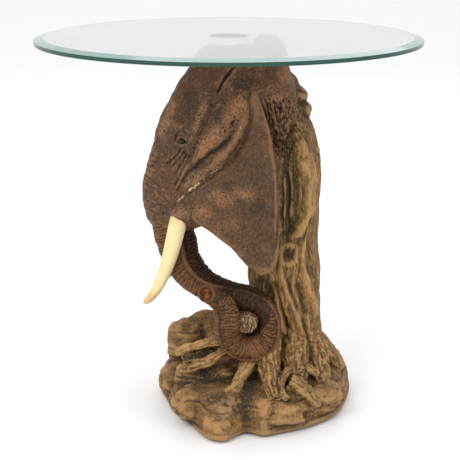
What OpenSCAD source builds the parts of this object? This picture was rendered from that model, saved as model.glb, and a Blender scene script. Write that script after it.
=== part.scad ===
// Side table: an elephant's head and trunk in front of a weathered tree stump on
// a rock base, carrying a round bevelled glass top that screws down on a stud.
// Millimetres. +Z is up, the head faces -X and its left cheek faces -Y.
// The origin is on the floor, straight under the centre of the glass.

/* [Overall] */
// Height from the floor to the top face of the glass
table_h = 500; // [420:1:600]

/* [Glass top] */
// Diameter of the glass
glass_d = 500; // [400:1:650]
// Thickness of the glass
glass_t = 8; // [6:0.5:12]
// Width of the bevel round the upper edge
bevel_w = 12; // [6:1:20]
// Height that the bevel falls
bevel_drop = 3; // [1:0.5:4]

/* [Fixing under the glass] */
// Diameter of the metal disc bonded to the glass
disc_d = 50; // [46:1:60]
// Thickness of the metal disc
disc_t = 10; // [8:0.5:14]
// Thickness of the rubber washer between disc and crown
washer_t = 2; // [1:0.5:3]
// Diameter of the rubber washer
washer_d = 44; // [36:1:50]
// Diameter of the threaded stud
stud_d = 10; // [8:1:12]
// Length of stud held in the disc
stud_in_disc = 8; // [5:0.5:8]
// Length of stud held in the insert
stud_grip = 12; // [8:1:16]
// Diameter of the threaded insert's body
insert_d = 16; // [14:0.5:20]
// Diameter of the insert's flange
insert_flange_d = 22; // [22:0.5:26]
// Depth of the insert below the crown
insert_len = 18; // [18:1:24]

/* [Castings] */
// Wall of the hollow head casting
head_wall = 9; // [6:0.5:12]
// Wall of the hollow stump casting
stump_wall = 12; // [8:0.5:15]
// Width of the rock base's wall at the floor
rock_wall = 18; // [15:0.5:24]
// Thickness of an ear at its middle
ear_t = 9; // [7:0.5:11]
// Radius of an eye
eye_r = 6; // [5:0.5:7]

/* [Underside] */
// Thickness of the felt pads
pad_t = 3; // [2.8:0.2:5]
// Diameter of a felt pad
pad_d = 22; // [16:1:24]
// Thickness of the cover board that closes the base
cover_t = 3; // [2:0.5:5]
// Diameter of a cover screw's shank
screw_d = 4; // [3:0.5:4.5]
// Length of a cover screw under its head
screw_len = 16; // [12:1:20]

/* [Hidden] */

// Clearances: glued seams, the moving stud, and screws in their holes
glue_gap = 0.3;
run_gap = 0.05;
screw_gap = 0.3;
// Small break on the metal disc's and the glass's sharp edges
disc_chamfer = 1;
glass_arris = 0.4;
insert_flange_t = 2.5;
screw_head_d = 7.6;
screw_head_t = 2.3;
boss_wall = 5;

// The sculpture is drawn with its crown at form_h and scaled to the height asked for
form_h = 480;
crown_z = table_h - glass_t - disc_t - washer_t;
k = crown_z / form_h;
disc_z = crown_z + washer_t;
glass_z = disc_z + disc_t;
stud_z = crown_z - stud_grip;
stud_len = stud_grip + washer_t + stud_in_disc;
head_yaw = -10;
far = 400;

// Head, in its own frame: height, front, back, half width, narrowing of the front
HEAD = [
    [236, -103, -46, 28, 0.10], [245, -108, -34, 36, 0.12], [258, -113, 6, 44, 0.16],
    [280, -117, 44, 50, 0.22], [305, -116, 60, 52, 0.30], [330, -110, 70, 54, 0.32],
    [354, -102, 77, 57, 0.30], [376, -97, 83, 60, 0.28], [397, -88, 89, 61, 0.22],
    [420, -76, 90, 60, 0.16], [440, -65, 86, 56, 0.10], [460, -50, 75, 48, 0.05],
    [474, -36, 56, 38, 0], [480, -27, 42, 30, 0]
];
// Left ear, in the head's frame: height, front edge x and y, back edge x and y
EAR = [
    [204, 54, -70, 62, -71], [210, 44, -69, 69, -72], [220, 34, -68, 75, -73],
    [233, 16, -64, 78, -74], [247, -10, -57, 79, -74], [258, -32, -49, 79, -74],
    [270, -39, -49, 79, -73], [286, -43, -50, 78, -73], [302, -38, -52, 77, -72],
    [319, -21, -55, 76, -71], [336, 4, -57, 75, -70], [354, 17, -58, 72, -69],
    [379, 24, -60, 67, -67], [400, 30, -61, 62, -65], [420, 34, -60, 55, -61],
    [438, 39, -57, 46, -57]
];
ear_bulge = 3;
// Left tusk, in the head's frame: a path with the radius at each point
TUSK = [
    [-44, -26, 290, 11], [-54, -37, 264, 11.5], [-64, -46, 236, 11],
    [-75, -52, 206, 9.4], [-86, -54, 178, 7.2], [-98, -56, 158, 4.4], [-105, -57, 149, 1.5]
];
// Left eye's centre, in the head's frame
EYE = [-54, -38.5, 367];
// Elephant's trunk, from the face down and round the branch stub to its tip
TRUNK = [
    [-79, 13, 272, 24], [-76, 9, 250, 27], [-69, 2, 224, 27], [-60, -7, 198, 25],
    [-42, -18, 178, 22], [-20, -28, 167, 19.5], [2, -38, 160, 17], [24, -46, 158, 15],
    [43, -52, 148, 14.5], [53, -57, 128, 14.5], [47, -61, 104, 14.5], [28, -66, 90, 14],
    [8, -69, 95, 13.5], [-4, -72, 112, 13], [-8, -75, 132, 12.5], [-15, -77, 152, 11],
    [-25, -77, 170, 9]
];
// Tree stump: height, centre x and y, half widths in x and y
STUMP = [
    [30, 66, 12, 84, 72], [52, 68, 12, 76, 64], [75, 70, 13, 64, 56], [100, 72, 14, 57, 50],
    [140, 73, 8, 50, 46], [190, 72, 4, 52, 45], [240, 75, 2, 46, 43], [290, 76, 2, 47, 43],
    [330, 76, 5, 47, 43], [370, 70, 14, 43, 42], [400, 63, 26, 37, 40], [430, 58, 38, 32, 36],
    [455, 54, 46, 26, 31], [475, 52, 50, 21, 23], [486, 51, 51, 12, 13]
];
stump_lobe = 0.05;
foot_hole_r = 36;
// Branch stub that the trunk curls round
STUB = [[52, -6, 130, 16], [36, -24, 129, 13], [25, -46, 126, 11], [22, -68, 124, 10.5]];
// Roots that run out over the rock
ROOTS = [
    [[40, -20, 78, 16], [4, -42, 74, 12], [-30, -54, 70, 11], [-58, -62, 66, 10]],
    [[30, -40, 66, 14], [14, -78, 62, 10], [4, -104, 52, 7], [0, -122, 40, 5]],
    [[60, -40, 68, 16], [60, -80, 60, 12], [64, -106, 50, 9], [70, -124, 38, 6]],
    [[92, -30, 70, 18], [104, -66, 60, 14], [106, -92, 52, 12], [98, -112, 44, 11]],
    [[108, 12, 74, 18], [136, 8, 58, 13], [152, 0, 44, 9], [160, -8, 34, 6]],
    [[76, 50, 74, 18], [74, 78, 58, 13], [70, 98, 44, 9], [66, 106, 34, 6]]
];
// Rock base: its outline at the floor, then rings of height and share of the outline
ROCK_EDGE = [
    [173, 35], [165, 72], [140, 98], [100, 110], [55, 114], [10, 110], [-35, 102], [-72, 86],
    [-97, 58], [-99, 20], [-88, -24], [-80, -59], [-64, -87], [-48, -120], [-30, -153],
    [-8, -164], [8, -147], [22, -134], [45, -146], [66, -136], [100, -119], [132, -93],
    [152, -64], [167, -12]
];
ROCK_RINGS = [[14, 1], [30, 0.985], [42, 0.93], [50, 0.82], [55, 0.6], [57, 0.3], [57, 0.05]];
rock_foot_share = 0.99;
rock_centre = [38, -14];
rock_cavity_top = 38;
// Boulder at the back left of the base: height, centre x and y, half widths
BOULDER = [
    [20, -24, 45, 58, 50], [60, -26, 48, 54, 46], [82, -28, 50, 53, 42], [94, -30, 50, 46, 36],
    [100, -26, 50, 28, 22]
];
SCREW_AT = [[-60, 38], [0, -108], [120, -45], [104, 70]];
PAD_AT = [[-60, 64], [-36, -88], [40, -112], [122, -68], [138, 34], [58, 88]];

// Catmull-Rom value between b and c, at t from 0 to 1
function curve_value(a, b, c, d, t) =
    0.5 * (2 * b + (c - a) * t + (2 * a - 5 * b + 4 * c - d) * t * t
        + (3 * b - a - 3 * c + d) * t * t * t);
function entry(list, i) = list[max(0, min(len(list) - 1, i))];
// The same rows made finer, with n steps between two of them
function finer(list, n) = concat(
    [for (i = [0:len(list) - 2], j = [0:n - 1])
        curve_value(entry(list, i - 1), list[i], list[i + 1], entry(list, i + 2), j / n)],
    [list[len(list) - 1]]);
// The same for an outline that closes on itself
function finer_loop(list, n) = let (m = len(list))
    [for (i = [0:m - 1], j = [0:n - 1])
        curve_value(list[(i + m - 1) % m], list[i], list[(i + 1) % m], list[(i + 2) % m], j / n)];
function unit(v) = v / norm(v);
function middle(ring) = [for (i = [0:len(ring) - 1]) 1] * ring / len(ring);

// Closed solid through rings of equally many points, each counter-clockwise about the way up
module loft(rings) {
    n = len(rings[0]);
    m = len(rings);
    points = concat([for (r = rings, p = r) p], [middle(rings[0]), middle(rings[m - 1])]);
    walls = [for (i = [0:m - 2], j = [0:n - 1]) let (a = i * n + j, b = i * n + (j + 1) % n)
        each [[a, a + n, b + n], [a, b + n, b]]];
    foot = [for (j = [0:n - 1]) [n * m, j, (j + 1) % n]];
    crown = [for (j = [0:n - 1]) [n * m + 1, n * (m - 1) + (j + 1) % n, n * (m - 1) + j]];
    polyhedron(points, concat(walls, foot, crown));
}

// Tube along a path of [x, y, z, radius] rows, its rings turned about the given direction
module tube(path, about, sides, steps, grow = 0) {
    rows = finer(path * k, steps);
    m = len(rows);
    loft([for (i = [0:m - 1]) let (
            here = [for (c = [0:2]) rows[i][c]],
            step = entry(rows, i + 1) - entry(rows, i - 1),
            way = unit([step[0], step[1], step[2]]),
            u = unit(cross(about, way)),
            v = cross(way, u),
            end = (i == 0 ? -grow : 0) + (i == m - 1 ? grow : 0),
            r = rows[i][3] + grow)
        [for (j = [0:sides - 1]) let (a = 360 * j / sides)
            here + way * end + r * (u * cos(a) + v * sin(a))]]);
}

// Stack of oval sections of [height, centre x, centre y, half width x, half width y]
module oval_stack(rows, sides, steps, grow, lobe) {
    fine = finer(rows * k, steps);
    m = len(fine);
    loft([for (i = [0:m - 1]) let (s = fine[i], lift = i == 0 ? -grow : i == m - 1 ? grow : 0)
        [for (j = [0:sides - 1]) let (a = 360 * j / sides,
                f = 1 + lobe * cos(3 * a + 90 + s[0] / 2) + lobe / 2 * sin(5 * a - s[0]))
            [s[1] + (s[3] * f + grow) * cos(a), s[2] + (s[4] * f + grow) * sin(a), s[0] + lift]]]);
}

// Head's outer form, or its hollow with a negative grow
module head_form(rows, grow) {
    fine = finer(rows * k, 2);
    m = len(fine);
    sides = 32;
    middle_share = 0.6;
    loft([for (i = [0:m - 1]) let (
            s = fine[i],
            cx = s[1] + (s[2] - s[1]) * middle_share,
            narrow = s[4] / k,
            lift = i == 0 ? -grow : i == m - 1 ? grow : 0)
        [for (j = [0:sides - 1]) let (
                c = cos(360 * j / sides),
                w = 1 - narrow * pow(max(0, -c), 1.5),
                reach = c < 0 ? cx - s[1] + grow : s[2] - cx + grow)
            [cx + reach * c, (s[3] + grow) * w * sin(360 * j / sides), s[0] + lift]]]);
}

module head_frame() rotate([0, 0, head_yaw]) children();
module stump_form(grow) oval_stack(STUMP, 32, 2, grow, stump_lobe);
module trunk_form(grow) tube(TRUNK, [0, 1, 0], 14, 3, grow);
module tusk_form(grow) head_frame() tube(TUSK, [0, 1, 0], 16, 3, grow);
module stub_form(grow) tube(STUB, [0, 0, 1], 14, 2, grow);

// Rock's outline, drawn in by the given width
function rock_outline(inset) = [for (p = finer_loop(ROCK_EDGE * k, 2))
    let (out = p - rock_centre * k) rock_centre * k + out * (1 - inset / norm(out))];

module rock_form(grow) {
    edge = rock_outline(-grow);
    rings = concat([[pad_t - grow, rock_foot_share]],
        [for (r = ROCK_RINGS) [r[0] * k + grow, r[1]]]);
    loft([for (r = rings)
        [for (p = edge) let (q = rock_centre * k + (p - rock_centre * k) * r[1])
            [q[0], q[1], r[0]]]]);
    oval_stack(BOULDER, 28, 2, grow, stump_lobe);
}

module screw_places() for (p = SCREW_AT) translate([p[0] * k, p[1] * k, 0]) children();

module glass_top() {
    r = glass_d / 2;
    color([0.72, 0.86, 0.82, 0.4]) translate([0, 0, glass_z]) rotate_extrude($fn = 180) polygon([
        [0, 0], [r - glass_arris, 0], [r, glass_arris], [r, glass_t - bevel_drop],
        [r - bevel_w, glass_t], [0, glass_t]
    ]);
}

module bonding_disc() {
    r = disc_d / 2;
    bore = stud_d / 2 + run_gap;
    color([0.82, 0.82, 0.84]) translate([0, 0, disc_z]) rotate_extrude($fn = 96) polygon([
        [bore, 0], [r - disc_chamfer, 0], [r, disc_chamfer], [r, disc_t - disc_chamfer],
        [r - disc_chamfer, disc_t], [0, disc_t], [0, stud_in_disc + glue_gap],
        [bore, stud_in_disc + glue_gap]
    ]);
}

module disc_washer() {
    color([0.09, 0.09, 0.09]) translate([0, 0, crown_z]) difference() {
        cylinder(h = washer_t, d = washer_d, $fn = 96);
        translate([0, 0, -1]) cylinder(h = washer_t + 2, d = stud_d + 2, $fn = 64);
    }
}

module top_stud() {
    color([0.7, 0.7, 0.68]) translate([0, 0, stud_z]) cylinder(h = stud_len, d = stud_d, $fn = 64);
}

module stud_insert() {
    color([0.78, 0.6, 0.3]) translate([0, 0, crown_z - insert_len]) difference() {
        union() {
            cylinder(h = insert_len, d = insert_d, $fn = 64);
            translate([0, 0, insert_len - insert_flange_t])
                cylinder(h = insert_flange_t, d = insert_flange_d, $fn = 64);
        }
        translate([0, 0, insert_len - stud_grip - 3])
            cylinder(h = stud_grip + 4, r = stud_d / 2 + run_gap, $fn = 64);
    }
}

module insert_socket() {
    translate([0, 0, crown_z - insert_len - glue_gap])
        cylinder(h = far, d = insert_d + 2 * glue_gap, $fn = 40);
    translate([0, 0, crown_z - insert_flange_t - glue_gap])
        cylinder(h = far, d = insert_flange_d + 2 * glue_gap, $fn = 40);
}

// The casting's hollow: the rows from the trunk's root to under the crown
module head_hollow() {
    head_form([for (s = HEAD) if (s[0] > 300 && s[0] < 450) s], -head_wall);
}

module head() {
    color([0.36, 0.27, 0.2]) resize([0, 0, 0]) difference() {
        head_frame() head_form(HEAD, 0);
        head_frame() head_hollow();
        stump_form(glue_gap);
        trunk_form(glue_gap);
        insert_socket();
        tusk_form(glue_gap);
        mirrored_in_head() tusk_form(glue_gap);
        eye_ball(glue_gap);
        mirrored_in_head() eye_ball(glue_gap);
    }
}

// Mirrors a piece of the left side to the head's right side
module mirrored_in_head() head_frame() mirror([0, 1, 0]) rotate([0, 0, -head_yaw]) children();

module ear_form() {
    half = 9;
    rows = finer(EAR * k, 2);
    head_frame() loft([for (s = rows)
        [for (j = [0:2 * half - 1]) let (
                outer = j <= half,
                t = (1 - cos(180 * (outer ? j : 2 * half - j) / half)) / 2,
                swell = sqrt(max(0, sin(180 * t))) * ear_t / 2,
                y = s[2] + (s[4] - s[2]) * t - ear_bulge * sin(180 * t))
            [s[1] + (s[3] - s[1]) * t, y + (outer ? -1 : 1) * (swell + 0.6), s[0]]]]);
}

module left_ear() {
    color([0.34, 0.26, 0.19]) resize([0, 0, 0]) difference() {
        ear_form();
        head_frame() head_form(HEAD, glue_gap);
        stump_form(glue_gap);
    }
}

module right_ear() {
    color([0.34, 0.26, 0.19]) resize([0, 0, 0]) difference() {
        mirrored_in_head() ear_form();
        head_frame() head_form(HEAD, glue_gap);
        stump_form(glue_gap);
    }
}

module left_tusk() color([0.93, 0.87, 0.68]) tusk_form(0);
module right_tusk() color([0.93, 0.87, 0.68]) resize([0, 0, 0]) mirrored_in_head() tusk_form(0);

module eye_ball(grow) head_frame() translate(EYE * k) sphere(r = eye_r + grow, $fn = 32);
module left_eye() color([0.1, 0.06, 0.03]) eye_ball(0);
module right_eye() color([0.1, 0.06, 0.03]) mirrored_in_head() eye_ball(0);

module elephant_trunk() color([0.33, 0.25, 0.18]) trunk_form(0);

// The stump's hollow, open at its foot
module stump_hollow() {
    oval_stack([for (s = STUMP) if (s[0] > 60 && s[0] < 420) s], 24, 1, -stump_wall, stump_lobe);
    translate([STUMP[2][1] * k, STUMP[2][2] * k, -1])
        cylinder(h = STUMP[2][0] * k + 2 * stump_wall, r = foot_hole_r * k, $fn = 24);
}

module tree_stump() {
    color([0.6, 0.45, 0.27]) resize([0, 0, 0]) difference() {
        stump_form(0);
        stump_hollow();
        rock_form(glue_gap);
    }
}

module branch_stub() {
    color([0.66, 0.56, 0.42]) resize([0, 0, 0]) difference() {
        stub_form(0);
        stump_form(glue_gap);
    }
}

module surface_roots() {
    color([0.55, 0.42, 0.26]) resize([0, 0, 0]) difference() {
        for (path = ROOTS) tube(path, [0, 0, 1], 10, 2);
        stump_form(glue_gap);
        rock_form(glue_gap);
    }
}

module rock_base() {
    boss_d = screw_d + 2 * boss_wall;
    seat_z = pad_t + cover_t;
    color([0.52, 0.41, 0.27]) resize([0, 0, 0]) difference() {
        rock_form(0);
        translate([0, 0, -1]) linear_extrude(seat_z + glue_gap + 1)
            polygon(rock_outline(rock_wall * 2 / 3 - glue_gap));
        difference() {
            linear_extrude(rock_cavity_top * k) polygon(rock_outline(rock_wall));
            screw_places() cylinder(h = far, d = boss_d, $fn = 24);
        }
        screw_places() cylinder(h = pad_t + screw_len + 2, d = screw_d + 2 * screw_gap, $fn = 20);
    }
}

module bottom_cover() {
    color([0.12, 0.12, 0.12]) translate([0, 0, pad_t]) difference() {
        linear_extrude(cover_t) polygon(rock_outline(rock_wall * 2 / 3));
        translate([0, 0, -1]) screw_places() cylinder(h = cover_t + 2, d = screw_d + 0.4, $fn = 32);
    }
}

module cover_screws() {
    color([0.6, 0.6, 0.58]) screw_places() {
        translate([0, 0, pad_t - screw_head_t]) cylinder(h = screw_head_t, d = screw_head_d, $fn = 32);
        translate([0, 0, pad_t]) cylinder(h = screw_len, d = screw_d, $fn = 32);
    }
}

module felt_pads() {
    color([0.3, 0.26, 0.22]) for (p = PAD_AT) translate([p[0] * k, p[1] * k, 0])
        cylinder(h = pad_t, d = pad_d, $fn = 48);
}

glass_top();
bonding_disc();
disc_washer();
top_stud();
stud_insert();
head();
left_ear();
right_ear();
left_tusk();
right_tusk();
left_eye();
right_eye();
elephant_trunk();
tree_stump();
branch_stub();
surface_roots();
rock_base();
bottom_cover();
cover_screws();
felt_pads();
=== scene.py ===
"""Looks of a side table: a painted elephant's head before a tree stump, under a round glass top.

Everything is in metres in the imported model's frame: +Z is up, the face looks along -X and the
left cheek along -Y. Tables of sections and paths are in millimetres, as the maker draws them.
"""

from __future__ import annotations

import itertools
import logging
import math
from collections.abc import Callable, Sequence
from dataclasses import dataclass, field
from enum import Enum, IntEnum

import bpy
import numpy as np
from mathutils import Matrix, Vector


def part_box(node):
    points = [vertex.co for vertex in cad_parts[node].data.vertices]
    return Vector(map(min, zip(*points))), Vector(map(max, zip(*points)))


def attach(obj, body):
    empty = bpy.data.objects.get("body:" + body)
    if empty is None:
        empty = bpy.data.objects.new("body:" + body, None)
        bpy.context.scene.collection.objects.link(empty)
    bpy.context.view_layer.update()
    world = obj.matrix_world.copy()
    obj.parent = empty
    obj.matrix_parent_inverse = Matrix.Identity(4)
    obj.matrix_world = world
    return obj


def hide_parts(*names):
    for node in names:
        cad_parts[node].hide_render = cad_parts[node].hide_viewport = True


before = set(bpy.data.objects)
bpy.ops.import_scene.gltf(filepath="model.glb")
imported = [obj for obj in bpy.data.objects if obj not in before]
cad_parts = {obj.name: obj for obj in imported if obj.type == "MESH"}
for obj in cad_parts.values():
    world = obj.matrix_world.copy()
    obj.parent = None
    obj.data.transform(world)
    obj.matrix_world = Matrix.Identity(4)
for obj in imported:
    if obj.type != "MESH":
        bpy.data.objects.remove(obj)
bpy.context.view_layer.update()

LOG = logging.getLogger("side_table")
MM = 0.001
Array = np.ndarray
Colour = tuple[float, float, float]
BODY = "sculpture"


class Cheek(Enum):
    """The head's two sides, as the sign of y in the head's own frame."""

    LEFT = -1
    RIGHT = 1

    @property
    def side(self) -> str:
        """The side's name in the names of nodes and pieces."""
        return self.name.lower()


class Ends(Enum):
    """How a stroke's strength runs along its length."""

    TAPERED = "tapered"
    FULL = "full"


class Seed(IntEnum):
    """Which noise each surface takes."""

    WRINKLES = 11
    CROSS_WRINKLES = 12
    STRANDS = 21
    FINE_STRANDS = 22
    EAR = 31
    TRUNK = 41
    STUMP = 51
    STUMP_GRAIN = 52
    STUB = 55
    MOUNDS = 60
    ROCK = 71
    ROCK_CRACKS = 72
    ROOTS = 81
    ROOT_GRAIN = 82


def paint(red: int, green: int, blue: int) -> Colour:
    """Turns a colour chart's 0-255 values into the linear colour that the shaders use.

    Args:
        red: Red, from 0 to 255.
        green: Green, from 0 to 255.
        blue: Blue, from 0 to 255.

    Returns:
        The linear colour.
    """
    return tuple(
        (c / 255 / 12.92) if c <= 10 else ((c / 255 + 0.055) / 1.055) ** 2.4 for c in (red, green, blue)
    )


# ---- Tools of the bench ----


def smooth_step(low: float, high: float, value: Array) -> Array:
    """Rises smoothly from 0 at low to 1 at high.

    Args:
        low: Where the rise starts. It may be above high, for a fall.
        high: Where the rise ends.
        value: Where to read it.

    Returns:
        Values from 0 to 1.
    """
    t = np.clip((value - low) / (high - low), 0, 1)
    return t * t * (3 - 2 * t)


def along_rows(rows: Array, t: Array) -> Array:
    """Reads a table smoothly between its rows, by a Catmull-Rom curve.

    Args:
        rows: The table, one row for each station.
        t: Where to read it, from 0 at the first row to 1 at the last.

    Returns:
        One row for each value of t.
    """
    last = len(rows) - 1
    place = np.clip(t, 0, 1) * last
    i = np.minimum(place.astype(int), last - 1)
    f = (place - i)[:, None]
    a, b, c, d = (rows[np.clip(i + step, 0, last)] for step in (-1, 0, 1, 2))
    return 0.5 * (2 * b + (c - a) * f + (2 * a - 5 * b + 4 * c - d) * f**2 + (3 * b - a - 3 * c + d) * f**3)


class Grain:
    """Seeded gradient noise in space, for skin, bark and rock."""

    def __init__(self, seed: int) -> None:
        """Shuffles the noise's table.

        Args:
            seed: Which noise it is.
        """
        rng = np.random.default_rng(seed)
        self.order = rng.permutation(256)
        slopes = rng.normal(size=(256, 3))
        self.slopes = slopes / np.linalg.norm(slopes, axis=1)[:, None]

    def value(self, at: Array) -> Array:
        """Reads the noise.

        Args:
            at: Points, in units of the noise's cell.

        Returns:
            Values from about -1 to 1.
        """
        cell = np.floor(at).astype(int)
        f = at - cell
        ease = f**3 * (f * (f * 6 - 15) + 10)
        total = np.zeros(len(at))
        for corner in itertools.product((0, 1), repeat=3):
            c = (cell + corner) & 255
            key = self.order[(self.order[(self.order[c[:, 0]] + c[:, 1]) & 255] + c[:, 2]) & 255]
            weight = np.prod(np.where(corner, ease, 1 - ease), axis=1)
            total += weight * np.einsum("ij,ij->i", self.slopes[key], f - corner)
        return total * 1.6

    def clouds(self, at: Array, octaves: int = 3) -> Array:
        """Soft lumps: the noise with finer and weaker copies of itself.

        Args:
            at: Points, in units of the largest lump.
            octaves: How many sizes of lump there are.

        Returns:
            Values from about -1 to 1.
        """
        return sum(self.value(at * 2.03**k + 7.1 * k) / 2**k for k in range(octaves)) / 1.6

    def creases(self, at: Array, octaves: int = 2) -> Array:
        """Narrow valleys between rounded cushions.

        Args:
            at: Points, in units of a cushion.
            octaves: How many sizes of cushion there are.

        Returns:
            Values from 0 in a valley to about 1 on a cushion.
        """
        return sum(np.abs(self.value(at * 1.9**k + 3.3 * k)) ** 0.6 / 2**k for k in range(octaves)) / 1.5


@dataclass(frozen=True)
class Stroke:
    """One pull of a modelling tool along a line, seen square to the face that it works on.

    Attributes:
        line: Points of the line, in millimetres.
        width: Half width of the mark.
        height: Height of a ridge, or below 0 the depth of a groove.
        ends: Whether the mark fades at its ends.
    """

    line: Sequence[tuple[float, ...]]
    width: float
    height: float
    ends: Ends = Ends.TAPERED

    def field(self, at: Array) -> Array:
        """Height that the stroke adds.

        Args:
            at: Points in the same plane as the line.

        Returns:
            Heights in millimetres.
        """
        rows = np.array(self.line, float)
        line = along_rows(rows, np.linspace(0, 1, 3 * len(rows) - 2))
        nearest = np.full(len(at), np.inf)
        share = np.zeros(len(at))
        for i, (a, b) in enumerate(zip(line[:-1], line[1:])):
            way = b - a
            t = np.clip((at - a) @ way / max(way @ way, 1e-9), 0, 1)
            gap = np.linalg.norm(at - a - t[:, None] * way, axis=1)
            closer = gap < nearest
            nearest[closer] = gap[closer]
            share[closer] = ((i + t) / (len(line) - 1))[closer]
        mark = self.height * np.exp(-((nearest / self.width) ** 2))
        if self.ends is Ends.TAPERED:
            mark *= smooth_step(0, 0.2, share) * smooth_step(1, 0.8, share) * 0.9 + 0.1
        return mark


@dataclass(frozen=True)
class Lump:
    """A soft swelling or hollow pressed on a face, or a cloud of paint.

    Attributes:
        at: Its centre, in millimetres, in the plane of the face or in space.
        size: Its half width, or one for each direction.
        height: Height of a swelling, below 0 the depth of a hollow, or the strength of the paint.
    """

    at: tuple[float, ...]
    size: float | tuple[float, ...]
    height: float

    def field(self, at: Array) -> Array:
        """What the lump adds at points of the plane or of space."""
        return self.height * np.exp(-(((at - self.at) / self.size) ** 2).sum(axis=1))

    def boss(self, at: Array) -> Array:
        """What the lump adds when its top is flatter and its sides are steeper."""
        return self.height * np.exp(-((((at - self.at) / self.size) ** 2).sum(axis=1) ** 2))


def brushed(line: Sequence[tuple[float, ...]], width: float, strength: float) -> Stroke:
    """A pull of the brush, as strong at its ends as in its middle.

    Args:
        line: Points of the line, in millimetres.
        width: Half width of the touch.
        strength: How much paint it lays.

    Returns:
        The touch.
    """
    return Stroke(line, width, strength, Ends.FULL)


def worked(marks: Sequence[Stroke | Lump], at: Array) -> Array:
    """What all the marks together add at these points."""
    return sum(mark.field(at) for mark in marks)


def clear_selection() -> None:
    """Leaves nothing selected, in object mode."""
    if bpy.context.object and bpy.context.object.mode != "OBJECT":
        bpy.ops.object.mode_set(mode="OBJECT")
    bpy.ops.object.select_all(action="DESELECT")


def choose(*objects: bpy.types.Object) -> None:
    """Selects these objects alone, the first one active.

    Args:
        *objects: The objects.
    """
    clear_selection()
    for obj in objects:
        obj.select_set(True)
    bpy.context.view_layer.objects.active = objects[0]


def pick_faces(obj: bpy.types.Object, wanted: Callable[[bpy.types.MeshPolygon], bool]) -> None:
    """Opens an object for editing with only some of its faces selected.

    Args:
        obj: The mesh object.
        wanted: Says of a face whether it is selected.
    """
    choose(obj)
    bpy.ops.object.mode_set(mode="EDIT")
    bpy.ops.mesh.select_mode(type="FACE")
    bpy.ops.mesh.select_all(action="DESELECT")
    bpy.ops.object.mode_set(mode="OBJECT")
    for face in obj.data.polygons:
        face.select = wanted(face)
    bpy.ops.object.mode_set(mode="EDIT")


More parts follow.
